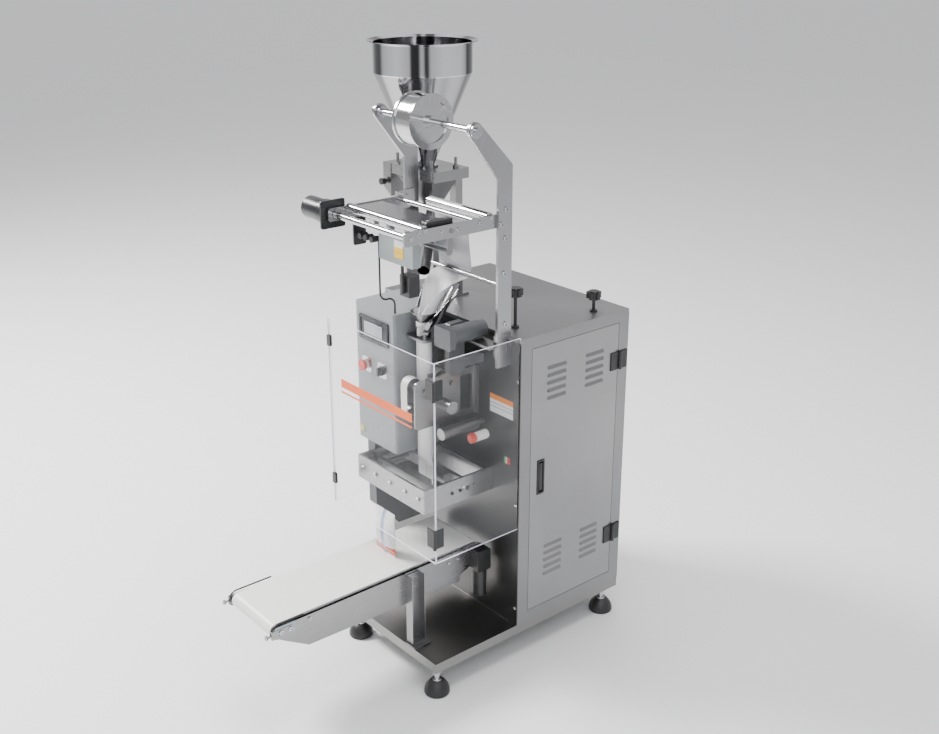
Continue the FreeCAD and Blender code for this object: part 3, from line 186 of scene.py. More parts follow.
# Feet. Moulded black rubber domes on stainless stems, which screw into the rails to level the machine.
# The rubber is slightly dusty towards the floor.
def moulded(name, tint, rough, pores=0.12, pore_size=420.0, dust=(0.05, 0.05, 0.05)):
    finish, nodes, links, shader = new_finish(name)
    pore, where = stretched_grain(nodes, links, (1, 1, 1), pore_size)
    patch = nodes.new("ShaderNodeTexNoise")
    patch.inputs["Scale"].default_value = 14.0
    patch.inputs["Detail"].default_value = 4.0
    links.new(where.outputs["Object"], patch.inputs["Vector"])
    tone = nodes.new("ShaderNodeValToRGB")
    tone.color_ramp.elements[0].position = 0.35
    tone.color_ramp.elements[0].color = (tint[0], tint[1], tint[2], 1)
    tone.color_ramp.elements[1].position = 0.8
    dusted = [colour + grey_dust * 0.3 for colour, grey_dust in zip(tint, dust)]
    tone.color_ramp.elements[1].color = (dusted[0], dusted[1], dusted[2], 1)
    links.new(patch.outputs["Fac"], tone.inputs["Fac"])
    links.new(tone.outputs["Color"], shader.inputs["Base Color"])
    vary_gloss(nodes, links, patch, max(rough - 0.08, 0.02), rough + 0.08)
    raise_grain(nodes, links, pore, pores, 0.0005)
    return finish


finish_part("foot_pads", moulded("foot_rubber", (0.012, 0.012, 0.013), 0.42, dust=(0.08, 0.08, 0.08)))
stem_steel = brushed_steel("turned_stem_steel", (0.66, 0.66, 0.68), 0.22, "z")
finish_part("foot_stems", stem_steel)

# Cabinet. Folded 2 mm stainless sheet, brushed top to bottom on the sides, with a lift-off lid
# and a screwed-on front panel, which is darker because it stands in the guard's shade.
side_sheet = brushed_steel("cabinet_side_sheet", (0.30, 0.30, 0.305), 0.32, "z", 0.1)
finish_part("cabinet_shell", side_sheet)
finish_part("front_panel", brushed_steel("front_panel_sheet", (0.13, 0.13, 0.13), 0.3, "x", 0.08))
finish_part("top_lid", brushed_steel("lid_sheet", (0.30, 0.30, 0.305), 0.36, "x", 0.1))
finish_part("electrical_plate", moulded("plate_enamel", (0.42, 0.44, 0.45), 0.4))
finish_part("drive_gearmotor", moulded("gearmotor_enamel", (0.2, 0.23, 0.26), 0.4))


def built(name, shape, finish, body, smooth=False):
    mesh = bpy.data.meshes.new(name)
    shape.to_mesh(mesh)
    shape.free()
    mesh.materials.append(finish)
    for face in mesh.polygons:
        face.use_smooth = smooth
    piece = bpy.data.objects.new(name, mesh)
    bpy.context.scene.collection.objects.link(piece)
    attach(piece, body)
    return piece


def rounded_slab(low, high, edge):
    """A slab from low to high with every edge rounded."""
    shape = bmesh.new()
    bmesh.ops.create_cube(shape, size=1.0)
    for corner in shape.verts:
        corner.co = Vector([(l + h) / 2 + c * (h - l) for l, h, c in zip(low, high, corner.co)])
    bmesh.ops.bevel(shape, geom=shape.edges[:], offset=edge, segments=3, profile=0.6, affect="EDGES")
    return shape


def printed_bands(name, axis, low, high, bands, gloss=0.3):
    """A printed face in flat bands of colour from low to high along one axis."""
    finish, nodes, links, shader = new_finish(name)
    speck, where = stretched_grain(nodes, links, (1, 1, 1), 160.0)
    split = nodes.new("ShaderNodeSeparateXYZ")
    links.new(where.outputs["Object"], split.inputs["Vector"])
    place = nodes.new("ShaderNodeMapRange")
    place.inputs["From Min"].default_value = low
    place.inputs["From Max"].default_value = high
    links.new(split.outputs[axis], place.inputs["Value"])
    tone = nodes.new("ShaderNodeValToRGB")
    tone.color_ramp.interpolation = "CONSTANT"
    tone.color_ramp.elements[0].color = bands[0][1]
    tone.color_ramp.elements[1].position = bands[-1][0]
    tone.color_ramp.elements[1].color = bands[-1][1]
    for position, tint in bands[1:-1]:
        stop = tone.color_ramp.elements.new(position)
        stop.color = tint
    links.new(place.outputs["Result"], tone.inputs["Fac"])
    links.new(tone.outputs["Color"], shader.inputs["Base Color"])
    vary_gloss(nodes, links, speck, gloss - 0.06, gloss + 0.1)
    return finish


panel_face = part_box("front_panel")[0].y
white, orange, grey = (0.80, 0.80, 0.80, 1), (0.85, 0.24, 0.02, 1), (0.45, 0.46, 0.48, 1)
notice_print = printed_bands("notice_print", "Z", 0.822, 0.882, ((0.0, white), (0.3, grey), (0.36, white),
                                                                (0.5, grey), (0.56, white), (0.72, orange)))
label_back, label_front, label_edge = 0.0001, 0.0011, 0.0004    # stuck-on labels stand 1 mm proud
built("front_notice_plate",
      rounded_slab((0.204, panel_face - label_front, 0.822), (0.310, panel_face - label_back, 0.882), label_edge),
      notice_print, "machine")
tag_print = printed_bands("small_tag_print", "X", 0.272, 0.300,
                          ((0.0, (0.12, 0.4, 0.12, 1)), (0.3, white), (0.5, (0.6, 0.05, 0.04, 1))))
built("small_red_tag",
      rounded_slab((0.272, panel_face - label_front, 0.668), (0.300, panel_face - label_back, 0.690), label_edge),
      tag_print, "machine")


# Screws and bright turned pieces. Polished stainless, mirror bright, with fine smudges.
# Painted reflections: light and dark bands in the base colour round each piece's axis.
# Button heads are pressed on the panel and their sockets catch the light.
def polished(name, tint, rough=0.06, round_axis="x", reflection_band_depth=0.62):
    finish, nodes, links, shader = new_finish(name)
    smear, where = stretched_grain(nodes, links, (1, 1, 1), 9.0)
    gloss = vary_gloss(nodes, links, smear, rough, rough + 0.07)
    gloss.inputs["From Min"].default_value = 0.35
    gloss.inputs["From Max"].default_value = 0.75
    facing = nodes.new("ShaderNodeNewGeometry")
    split = nodes.new("ShaderNodeSeparateXYZ")
    links.new(facing.outputs["Normal"], split.inputs["Vector"])
    flat = nodes.new("ShaderNodeCombineXYZ")
    first, second = {"x": ("Y", "Z"), "y": ("X", "Z"), "z": ("X", "Y")}[round_axis]
    links.new(split.outputs[first], flat.inputs["X"])
    links.new(split.outputs[second], flat.inputs["Y"])
    # Painted reflection: the base colour runs through light and dark bands by which way the surface faces round
    # the axis.
    reflection_band_sweep = nodes.new("ShaderNodeTexGradient")
    reflection_band_sweep.gradient_type = "RADIAL"
    links.new(flat.outputs["Vector"], reflection_band_sweep.inputs["Vector"])
    tone = nodes.new("ShaderNodeValToRGB")
    tone.color_ramp.interpolation = "B_SPLINE"
    for position, shade in ((0.05, 0.5), (0.11, 1.0), (0.16, 0.35), (0.21, 1.0), (0.3, 0.8), (0.36, 0.2),
                            (0.4, 1.0), (0.46, 0.45), (0.55, 1.0), (0.63, 0.3), (0.69, 1.0), (0.78, 0.7),
                            (0.84, 0.15), (0.9, 1.0)):
        stop = tone.color_ramp.elements.new(position)
        level = 1 - reflection_band_depth * (1 - shade)
        stop.color = (tint[0] * level, tint[1] * level, tint[2] * level, 1)
    tone.color_ramp.elements[0].color = (tint[0] * 0.9, tint[1] * 0.9, tint[2] * 0.9, 1)
    tone.color_ramp.elements[-1].color = (tint[0] * 0.9, tint[1] * 0.9, tint[2] * 0.9, 1)
    links.new(reflection_band_sweep.outputs["Fac"], tone.inputs["Fac"])
    links.new(tone.outputs["Color"], shader.inputs["Base Color"])
    ripple = nodes.new("ShaderNodeTexNoise")
    ripple.inputs["Scale"].default_value = 26.0
    links.new(where.outputs["Object"], ripple.inputs["Vector"])
    raise_grain(nodes, links, ripple, 0.06, 0.002)
    shader.inputs["Metallic"].default_value = 1.0
    return finish


bright_steel = polished("polished_steel", (0.62, 0.62, 0.64), 0.09, "x", 0.8)
for node in ("button_head_screws", "shaft_bearings", "roll_shaft", "unwind_roller", "front_guide_roller",
             "rear_guide_roller"):
    finish_part(node, bright_steel)

# Side door. A folded pan with pressed louvres, hung on black moulded hinges,
# with a black swing-out lever in a dish.
finish_part("side_door", brushed_steel("door_sheet", (0.345, 0.345, 0.35), 0.31, "z", 0.1))
black_moulding = moulded("black_moulding", (0.014, 0.014, 0.015), 0.36)
for node in ("door_handle", "handle_lever", "hinge_leaves", "door_hinge_leaves", "guard_fittings",
             "star_knobs"):
    finish_part(node, black_moulding)

# Uprights and film shaft. Two laser-cut stainless bars carry the chromed drum's shaft between bushes.
# The drum's cheeks are matt white metal and its rim is mirror bright.
finish_part("uprights", brushed_steel("upright_bar_steel", (0.42, 0.42, 0.43), 0.28, "z", 0.08))
finish_part("roll_chuck", polished("drum_chrome", (0.66, 0.66, 0.67), 0.1, "x", 0.75))


def socket_screw(centre, outward, radius, height):
    """A cylinder-head screw with a chamfered rim and a hexagon socket."""
    shape = bmesh.new()
    outline = ((radius, 0.0), (radius, height * 0.8), (radius * 0.88, height))
    socket = [radius * 0.5 / math.cos(((k % 4) - 2) * math.pi / 12) for k in range(24)]
    round_the_rim = [(math.cos(k * math.pi / 12), math.sin(k * math.pi / 12)) for k in range(24)]
    rings = [[shape.verts.new((reach * c, reach * s, rise)) for c, s in round_the_rim] for reach, rise in outline]
    for rise in (height, height * 0.4):
        rings.append([shape.verts.new((reach * c, reach * s, rise))
                      for reach, (c, s) in zip(socket, round_the_rim)])
    for lower, upper in zip(rings, rings[1:]):
        for k in range(24):
            shape.faces.new((lower[k], lower[(k + 1) % 24], upper[(k + 1) % 24], upper[k]))
    shape.faces.new(list(reversed(rings[0])))
    shape.faces.new(rings[-1])
    turn = Vector((0, 0, 1)).rotation_difference(Vector(outward)).to_matrix().to_4x4()
    bmesh.ops.transform(shape, matrix=turn, verts=shape.verts[:])
    bmesh.ops.translate(shape, vec=Vector(centre), verts=shape.verts[:])
    return shape


upright_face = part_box("uprights")[1].x
for index, (y, z) in enumerate(((0.152, 1.482), (0.134, 1.440), (0.150, 1.397), (0.146, 1.292),
                                (0.152, 1.135))):
    built("upright_screw_%d" % index, socket_screw((upright_face, y, z), (1, 0, 0), 0.0075, 0.005),
          bright_steel, "machine")

# Film frame. Flat stainless bars and round stays, with a polished deck plate under the web.
# The unwind motor hangs outside the left bar in black enamel.
frame_steel = brushed_steel("film_frame_steel", (0.42, 0.42, 0.43), 0.2, "y", 0.06)
finish_part("film_frame", frame_steel)
bar_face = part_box("film_frame")[1].x
for index, (y, z) in enumerate(((-0.075, 1.448), (-0.017, 1.447), (0.063, 1.454), (-0.156, 1.455))):
    built("frame_bar_screw_%d" % index, socket_screw((bar_face, y, z), (1, 0, 0), 0.006, 0.004), bright_steel,
          "machine")
block_low = Vector((0.247, -0.118, 1.4657))
block_size = Vector((0.026, 0.092, 0.015))
built("deck_slide_block", rounded_slab(block_low, block_low + block_size, 0.002), black_moulding, "machine")
for index, y in enumerate((-0.103, -0.042)):
    built("slide_block_screw_%d" % index,
          socket_screw((0.260, y, block_low.z + block_size.z), (0, 0, 1), 0.005, 0.003), bright_steel, "machine")
aluminium = brushed_steel("milled_aluminium", (0.29, 0.29, 0.295), 0.3, "x", 0.1)
finish_part("dancer_arm", aluminium)
finish_part("unwind_gearmotor", moulded("motor_enamel", (0.012, 0.013, 0.015), 0.28))
finish_part("photo_eye", moulded("sensor_housing", (0.02, 0.02, 0.022), 0.35))
case_left, case_bottom = 0.0278, 1.3255    # where the grey amplifier case begins
eye_finish = part["photo_eye"].data.materials[0]
eye_nodes, eye_links = eye_finish.node_tree.nodes, eye_finish.node_tree.links
eye_where = eye_nodes.new("ShaderNodeTexCoord")
eye_split = eye_nodes.new("ShaderNodeSeparateXYZ")
eye_links.new(eye_where.outputs["Object"], eye_split.inputs["Vector"])
above_stem = eye_nodes.new("ShaderNodeMath")
above_stem.operation = "GREATER_THAN"
above_stem.inputs[1].default_value = case_bottom
eye_links.new(eye_split.outputs["Z"], above_stem.inputs[0])
right_of_bar = eye_nodes.new("ShaderNodeMath")
right_of_bar.operation = "GREATER_THAN"
right_of_bar.inputs[1].default_value = case_left
eye_links.new(eye_split.outputs["X"], right_of_bar.inputs[0])
on_case = eye_nodes.new("ShaderNodeMath")
on_case.operation = "MULTIPLY"
eye_links.new(above_stem.outputs[0], on_case.inputs[0])
eye_links.new(right_of_bar.outputs[0], on_case.inputs[1])
case_or_eye = eye_nodes.new("ShaderNodeMix")
case_or_eye.data_type = "RGBA"
case_or_eye.inputs["B"].default_value = (0.30, 0.33, 0.34, 1)
eye_links.new(on_case.outputs[0], case_or_eye.inputs["Factor"])
eye_shader = eye_nodes["Principled BSDF"]
eye_links.new(eye_shader.inputs["Base Color"].links[0].from_socket, case_or_eye.inputs["A"])
eye_links.new(case_or_eye.outputs["Result"], eye_shader.inputs["Base Color"])
case_front = -0.105    # the amplifier case, behind the knob bar's front
yellow = (0.85, 0.55, 0.01, 1)
amplifier_print = printed_bands("amplifier_print", "Z", 1.345, 1.398,
                                ((0.0, yellow), (0.3, (0.75, 0.40, 0.01, 1)), (0.36, yellow), (0.62, white)))
built("amplifier_label",
      rounded_slab((0.104, case_front - label_front, 1.345), (0.146, case_front - label_back, 1.398), label_edge),
      amplifier_print, "machine")
finish_part("sensor_cable", moulded("cable_jacket", (0.012, 0.012, 0.012), 0.45))

# Hopper and product path. Spun, mirror-polished stainless with a flared lip, bolted to a gate plate.
# The chute under it is folded from brushed sheet.
def spun_steel(name, shoulder):
    """Lathe-turned mirror steel with painted reflections, narrow light and dark bands round the axis in the base
    colour, and painted shade on the cone below the shoulder.
    """
    finish = polished(name, (0.7, 0.7, 0.72), 0.1, "z", 0.9)
    nodes, links = finish.node_tree.nodes, finish.node_tree.links
    reflection_streaks = [node for node in nodes if node.bl_idname == "ShaderNodeValToRGB"][0]
    reflection_streaks.color_ramp.interpolation = "LINEAR"
    while len(reflection_streaks.color_ramp.elements) > 2:
        reflection_streaks.color_ramp.elements.remove(reflection_streaks.color_ramp.elements[1])
    # Painted reflection: sharp light and dark bands stand in for the spun steel's mirrored surroundings.
    for position, shade in ((0.10, 0.5), (0.21, 0.06), (0.238, 0.1), (0.255, 0.62), (0.31, 0.9), (0.352, 0.6),
                            (0.36, 0.05), (0.382, 0.04), (0.39, 0.55), (0.397, 0.5), (0.403, 0.05),
                            (0.412, 0.08),
                            (0.42, 0.6), (0.46, 0.85), (0.53, 0.8), (0.55, 0.5), (0.562, 0.06), (0.61, 0.05),
                            (0.65, 0.4), (0.75, 0.08), (0.83, 0.7), (0.9, 0.1)):
        stop = reflection_streaks.color_ramp.elements.new(position)
        stop.color = (shade, shade, shade * 1.03, 1)
    shader = nodes["Principled BSDF"]
    where = nodes.new("ShaderNodeTexCoord")
    split = nodes.new("ShaderNodeSeparateXYZ")
    links.new(where.outputs["Object"], split.inputs["Vector"])
    # Painted shade: below the shoulder the base colour is pulled towards near black, for the downward-facing
    # cone.
    below = nodes.new("ShaderNodeMapRange")
    below.inputs["From Min"].default_value = shoulder - 0.004
    below.inputs["From Max"].default_value = shoulder
    below.inputs["To Min"].default_value = 0.62
    below.inputs["To Max"].default_value = 0.0
    links.new(split.outputs["Z"], below.inputs["Value"])
    darker = nodes.new("ShaderNodeMix")
    darker.data_type = "RGBA"
    darker.inputs["B"].default_value = (0.10, 0.10, 0.11, 1)
    links.new(below.outputs["Result"], darker.inputs["Factor"])
    links.new(reflection_streaks.outputs["Color"], darker.inputs["A"])
    links.new(darker.outputs["Result"], shader.inputs["Base Color"])
    return finish


bowl_bottom = 1.815    # height of the shoulder between the bowl and the cone
finish_part("hopper", spun_steel("spun_hopper_steel", bowl_bottom))
finish_part("gate_housing", brushed_steel("gate_plate_steel", (0.33, 0.33, 0.335), 0.26, "x", 0.08))
finish_part("slide_gate", bright_steel)
finish_part("lower_funnel", brushed_steel("chute_sheet", (0.15, 0.15, 0.155), 0.28, "z", 0.08))

# Forming set. A thin rolled tube inside a polished collar, which folds the web round it.
# The collar's neck is clamped to a milled plate from the right upright.
finish_part("forming_tube", brushed_steel("rolled_tube_steel", (0.34, 0.34, 0.35), 0.22, "z", 0.06))
finish_part("forming_collar", polished("collar_steel", (0.42, 0.42, 0.43), 0.1, "z", 0.85))
finish_part("collar_bracket", aluminium)

# Draw belts and sealers. Milled aluminium plates, toothed wheels and air cylinders,
# with pale moulded belts on each side of the tube.
for node in ("draw_pulley_front", "draw_pulley_rear", "draw_frames", "vertical_seal_bar", "front_jaw",
             "rear_jaw", "air_cylinders", "conveyor_tail_roller", "conveyor_drive_roller"):
    finish_part(node, aluminium)
pale_belt = moulded("pale_belt", (0.74, 0.74, 0.71), 0.38, 0.1, 700.0, (0.02, 0.02, 0.0))
finish_part("draw_belts", pale_belt)
finish_part("draw_gearmotor", moulded("grey_enamel", (0.09, 0.095, 0.10), 0.32))
finish_part("jaw_frame", brushed_steel("jaw_plate_steel", (0.36, 0.36, 0.365), 0.24, "x", 0.08))


def turned(name, axis_start, axis_end, outline, finish, body):
    """A piece turned about a line. The outline gives distance along the line and radius, in metres."""
    shape = bmesh.new()
    start, end = Vector(axis_start), Vector(axis_end)
    turn = Vector((0, 0, 1)).rotation_difference(end - start).to_matrix()
    rings = []
    for along, radius in outline:
        rings.append([shape.verts.new(start + turn @ Vector((radius * math.cos(k * math.pi / 20),
                                                             radius * math.sin(k * math.pi / 20), along)))
                      for k in range(40)])
    for lower, upper in zip(rings, rings[1:]):
        for k in range(40):
            shape.faces.new((lower[k], lower[(k + 1) % 40], upper[(k + 1) % 40], upper[k]))
    shape.faces.new(list(reversed(rings[0])))
    shape.faces.new(rings[-1])
    return built(name, shape, finish, body)


white_moulding = moulded("white_moulding", (0.72, 0.72, 0.70), 0.3, 0.06, 500.0, (0.0, 0.0, 0.0))
red_moulding = moulded("red_moulding", (0.55, 0.035, 0.012), 0.3, 0.06)
jaw_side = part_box("jaw_frame")[1].x
for index, y in enumerate((0.009, 0.041, 0.069)):
    built("jaw_frame_screw_%d" % index, socket_screw((jaw_side, y, 0.595), (1, 0, 0), 0.0055, 0.003),
          black_moulding, "machine")
jaw_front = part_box("jaw_frame")[0].y
for index, x in enumerate((-0.095, -0.030, 0.047, 0.124, 0.190)):
    built("jaw_front_screw_%d" % index, socket_screw((x, jaw_front, 0.598), (0, -1, 0), 0.0075, 0.006),
          bright_steel, "machine")
filter_top = Vector((0.244, 0.060, 0.772))
filter_end = filter_top + Vector((0, 0.09, 0))
turned("filter_bowl", filter_top, filter_end,
       ((0.018, 0.012), (0.020, 0.0145), (0.060, 0.0150), (0.066, 0.0140), (0.069, 0.010)), white_moulding,
       "machine")
turned("filter_cap", filter_top, filter_end,
       ((0.0, 0.011), (0.002, 0.0150), (0.013, 0.0160), (0.0175, 0.0150), (0.018, 0.011)), red_moulding,
       "machine")

# Control box. A powder-coated steel case on a folded column, with a screen, a red stop button
# and a black selector.
finish_part("control_box", moulded("box_powder_coat", (0.235, 0.25, 0.262), 0.3, 0.2, 900.0))
finish_part("support_column", brushed_steel("column_sheet", (0.1, 0.1, 0.105), 0.34, "z", 0.1))
finish_part("control_screen", moulded("screen_bezel", (0.012, 0.014, 0.022), 0.22))
finish_part("stop_button", moulded("red_button", (0.62, 0.02, 0.015), 0.25, 0.04))
finish_part("selector_switch", black_moulding)
screen_low, screen_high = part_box("control_screen")
display, display_nodes, display_links, display_shader = new_finish("display_glass")
display_grain, _ = stretched_grain(display_nodes, display_links, (40, 40, 900), 1.0)
display_tone = display_nodes.new("ShaderNodeValToRGB")
display_tone.color_ramp.elements[0].color = (0.30, 0.31, 0.34, 1)
display_tone.color_ramp.elements[1].color = (0.46, 0.47, 0.50, 1)
display_links.new(display_grain.outputs["Fac"], display_tone.inputs["Fac"])
display_links.new(display_tone.outputs["Color"], display_shader.inputs["Base Color"])
display_shader.inputs["Roughness"].default_value = 0.12
built("display_panel",
      rounded_slab((screen_low.x + 0.028, screen_low.y + 0.0006, screen_low.z + 0.022),
                   (screen_high.x - 0.030, screen_low.y + 0.0019, screen_high.z - 0.018), 0.0005),
      display, "machine")
box_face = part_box("control_box")[0].y
plate_finish = brushed_steel("switch_plate_steel", (0.6, 0.6, 0.62), 0.25, "x", 0.06)
for plate_name, node in (("stop_plate", "stop_button"), ("selector_plate", "selector_switch")):
    low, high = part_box(node)
    mid_x, mid_z = (low.x + high.x) / 2, (low.z + high.z) / 2
    ring = bmesh.new()
    loops = []
    for reach, front in ((0.0145, 0.0), (0.0145, 0.0012), (0.0245, 0.0012), (0.0245, 0.0)):
        corners = []
        for k in range(32):
            turn = k * math.pi / 16
            c, d = math.cos(turn), math.sin(turn)
            power = 1.0 if reach < 0.02 else 0.35
            corners.append(ring.verts.new((mid_x + reach * math.copysign(abs(c) ** power, c),
                                           box_face - 0.0001 - front,
                                           mid_z + reach * math.copysign(abs(d) ** power, d))))
        loops.append(corners)
    for inner, outer in zip(loops, loops[1:] + loops[:1]):
        for k in range(32):
            ring.faces.new((inner[k], inner[(k + 1) % 32], outer[(k + 1) % 32], outer[k]))
    bmesh.ops.recalc_face_normals(ring, faces=ring.faces[:])
    built(plate_name, ring, plate_finish, "machine")
box_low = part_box("control_box")[0]
tag_left, tag_right = box_low.x + 0.012, box_low.x + 0.040
box_tag_print = printed_bands("box_tag_print", "X", tag_left, tag_right,
                              ((0.0, (0.8, 0.5, 0.02, 1)), (0.55, (0.1, 0.3, 0.1, 1))))
built("box_yellow_tag",
      rounded_slab((tag_left, box_face - label_front, box_low.z + 0.022),
                   (tag_right, box_face - label_back, box_low.z + 0.040), label_edge),
      box_tag_print, "machine")

# Conveyor. A white smooth belt between deep side plates on a folded post,
# driven by a black right-angle gearmotor.
finish_part("conveyor_belt", moulded("white_belt", (0.82, 0.82, 0.80), 0.34, 0.06, 700.0, (0.0, 0.0, 0.0)))
finish_part("conveyor_frame", brushed_steel("conveyor_plate_steel", (0.33, 0.33, 0.335), 0.25, "y", 0.08))
finish_part("conveyor_post", brushed_steel("post_sheet", (0.30, 0.30, 0.305), 0.3, "z", 0.1))
finish_part("conveyor_gearmotor", moulded("conveyor_motor_enamel", (0.012, 0.012, 0.013), 0.3))
plate_left, plate_right = -0.0463, 0.186    # outer faces of the side plates
roller_low, roller_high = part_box("conveyor_tail_roller")
nose_y, nose_z = (roller_low.y + roller_high.y) / 2, (roller_low.z + roller_high.z) / 2


def nose_guard(x0, x1, inner, outer, tail):
    """A black lip over the plate's end: a half ring round the roller, with a flat tail along the top."""
    shape = bmesh.new()
    rows = []
    path = [(nose_y + tail, nose_z, inner, outer, None)] + [(nose_y, nose_z, inner, outer, turn)
                                                            for turn in range(90, 231, 10)]
    for y, z, near, far, turn in path:
        c, d = (0.0, 1.0) if turn is None else (math.cos(math.radians(turn)), math.sin(math.radians(turn)))
        rows.append([shape.verts.new((x, y + reach * c, z + reach * d))
                     for x, reach in ((x0, near), (x0, far), (x1, far), (x1, near))])
    for before, behind in zip(rows, rows[1:]):
        for k in range(4):
            shape.faces.new((before[k], before[(k + 1) % 4], behind[(k + 1) % 4], behind[k]))
    shape.faces.new(rows[0])
    shape.faces.new(list(reversed(rows[-1])))
    bmesh.ops.recalc_face_normals(shape, faces=shape.faces[:])
    bmesh.ops.bevel(shape, geom=shape.edges[:], offset=0.0006, segments=2, affect="EDGES")
    return shape


built("nose_guard_right", nose_guard(plate_right + 0.0002, plate_right + 0.0042, 0.0235, 0.0275, 0.085),
      black_moulding, "machine")
built("nose_guard_left", nose_guard(plate_left - 0.0042, plate_left - 0.0002, 0.0235, 0.0275, 0.120), black_moulding, "machine")
built("take_up_plate", rounded_slab((plate_right + 0.0046, nose_y - 0.012, nose_z - 0.020),
                                    (plate_right + 0.0086, nose_y + 0.052, nose_z + 0.020), 0.0015),
      brushed_steel("take_up_steel", (0.32, 0.37, 0.42), 0.24, "y", 0.06), "machine")
for index, y in enumerate((nose_y + 0.006, nose_y + 0.036)):
    built("take_up_screw_%d" % index,
          socket_screw((plate_right + 0.0087, y, nose_z), (1, 0, 0), 0.008, 0.004),
          bright_steel, "machine")
for index, (y, z) in enumerate(((-0.575, 0.345), (-0.553, 0.352), (-0.553, 0.336), (-0.50, 0.345),
                                (-0.135, 0.335), (-0.115, 0.335), (-0.135, 0.300), (-0.115, 0.300),
                                (0.02, 0.330), (0.06, 0.330))):
    built("conveyor_screw_%d" % index, socket_screw((plate_right, y, z), (1, 0, 0), 0.0055, 0.004),
          bright_steel, "machine")


# Guard. Clear 5 mm acrylic sheets, the door hung on black hinges. Flat faces are nearly invisible
# and the sawn edges are nearly opaque pale violet: partly the sawn edge's own look, partly a painted glow
# for the light that the sheet carries to its edges. A mask on the surface normal tells a face from an edge.
def clear_sheet(name, thin_axis):
    finish, nodes, links, shader = new_finish(name)
    facing = nodes.new("ShaderNodeNewGeometry")
    split = nodes.new("ShaderNodeSeparateXYZ")
    links.new(facing.outputs["Normal"], split.inputs["Vector"])
    flatness = nodes.new("ShaderNodeMath")
    flatness.operation = "ABSOLUTE"
    links.new(split.outputs[thin_axis], flatness.inputs[0])
    is_face = nodes.new("ShaderNodeMath")
    is_face.operation = "GREATER_THAN"
    is_face.inputs[1].default_value = 0.7
    links.new(flatness.outputs[0], is_face.inputs[0])
    smear, _ = stretched_grain(nodes, links, (1, 1, 1), 5.0)
    haze = nodes.new("ShaderNodeMapRange")
    haze.inputs["To Min"].default_value = 0.012
    haze.inputs["To Max"].default_value = 0.045
    links.new(smear.outputs["Fac"], haze.inputs["Value"])
    # Painted glow: the edges get alpha 0.92 and a pale violet colour, standing in for the light piped to them.
    cover = nodes.new("ShaderNodeMix")
    cover.inputs["A"].default_value = 0.92
    links.new(is_face.outputs[0], cover.inputs["Factor"])
    links.new(haze.outputs["Result"], cover.inputs["B"])
    links.new(cover.outputs["Result"], shader.inputs["Alpha"])
    tint = nodes.new("ShaderNodeMix")
    tint.data_type = "RGBA"
    tint.inputs["A"].default_value = (0.90, 0.90, 1.0, 1)
    tint.inputs["B"].default_value = (0.88, 0.90, 0.94, 1)
    links.new(is_face.outputs[0], tint.inputs["Factor"])
    links.new(tint.outputs["Result"], shader.inputs["Base Color"])
    shader.inputs["Roughness"].default_value = 0.04
    shader.inputs["IOR"].default_value = 1.49
    return finish


finish_part("guard_sides", clear_sheet("clear_side_panel", "X"))
finish_part("guard_door", clear_sheet("clear_door_panel", "Y"))
guard_low, guard_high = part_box("guard_door")
stripe_print = printed_bands("guard_stripe_print", "X", guard_low.x, guard_high.x,
                             ((0.0, (0.85, 0.12, 0.01, 1)), (0.6, (0.86, 0.14, 0.01, 1))), 0.4)
stripe_left, stripe_right = guard_low.x + 0.066, guard_low.x + 0.428
for index, (low, high) in enumerate(((0.884, 0.912), (0.866, 0.872))):
    built("guard_stripe_%d" % index,
          rounded_slab((stripe_left, guard_low.y - 0.0009, low),
                       (stripe_right, guard_low.y - 0.0001, high), 0.0003),
          stripe_print, "guard_door")


# Film. One web, 156 mm wide, that comes over the rear roller, down behind the lower stay, folds forward
# into a cone, closes round the tube and is pressed flat between the jaws.
def sheet_object(name, rows, finish, thickness):
    mesh = bpy.data.meshes.new(name)
    width = len(rows[0])
    corners = [point for row in rows for point in row]
    faces = [(r * width + c, r * width + c + 1, (r + 1) * width + c + 1, (r + 1) * width + c)
             for r in range(len(rows) - 1) for c in range(width - 1)]
    mesh.from_pydata(corners, [], faces)
    mesh.materials.append(finish)
    for face in mesh.polygons:
        face.use_smooth = True
    piece = bpy.data.objects.new(name, mesh)
    bpy.context.scene.collection.objects.link(piece)
    body = piece.modifiers.new("thickness", "SOLIDIFY")
    body.thickness = thickness
    body.offset = 0.0
    return piece


def film_finish():
    finish, nodes, links, shader = new_finish("white_printed_film")
    crease, where = stretched_grain(nodes, links, (1, 1, 0.35), 38.0)
    crease.inputs["Distortion"].default_value = 1.2
    raise_grain(nodes, links, crease, 0.3, 0.003)
    split = nodes.new("ShaderNodeSeparateXYZ")
    links.new(where.outputs["Object"], split.inputs["Vector"])
    # Painted shade: the web is painted grey above the lower stay and white below it; the grey stands in for the
    # shade seen through the thin film there.
    tone = nodes.new("ShaderNodeValToRGB")
    tone.color_ramp.interpolation = "EASE"
    tone.color_ramp.elements[0].position = 0.0
    tone.color_ramp.elements[0].color = (0.86, 0.86, 0.87, 1)
    tone.color_ramp.elements[1].position = 1.0
    tone.color_ramp.elements[1].color = (0.30, 0.30, 0.32, 1)
    level = nodes.new("ShaderNodeMapRange")
    level.inputs["From Min"].default_value = 1.238
    level.inputs["From Max"].default_value = 1.262
    links.new(split.outputs["Z"], level.inputs["Value"])
    links.new(level.outputs["Result"], tone.inputs["Fac"])
    links.new(tone.outputs["Color"], shader.inputs["Base Color"])
    shader.inputs["Roughness"].default_value = 0.28
    shader.inputs["Coat Weight"].default_value = 0.4
    shader.inputs["Coat Roughness"].default_value = 0.12
    return finish


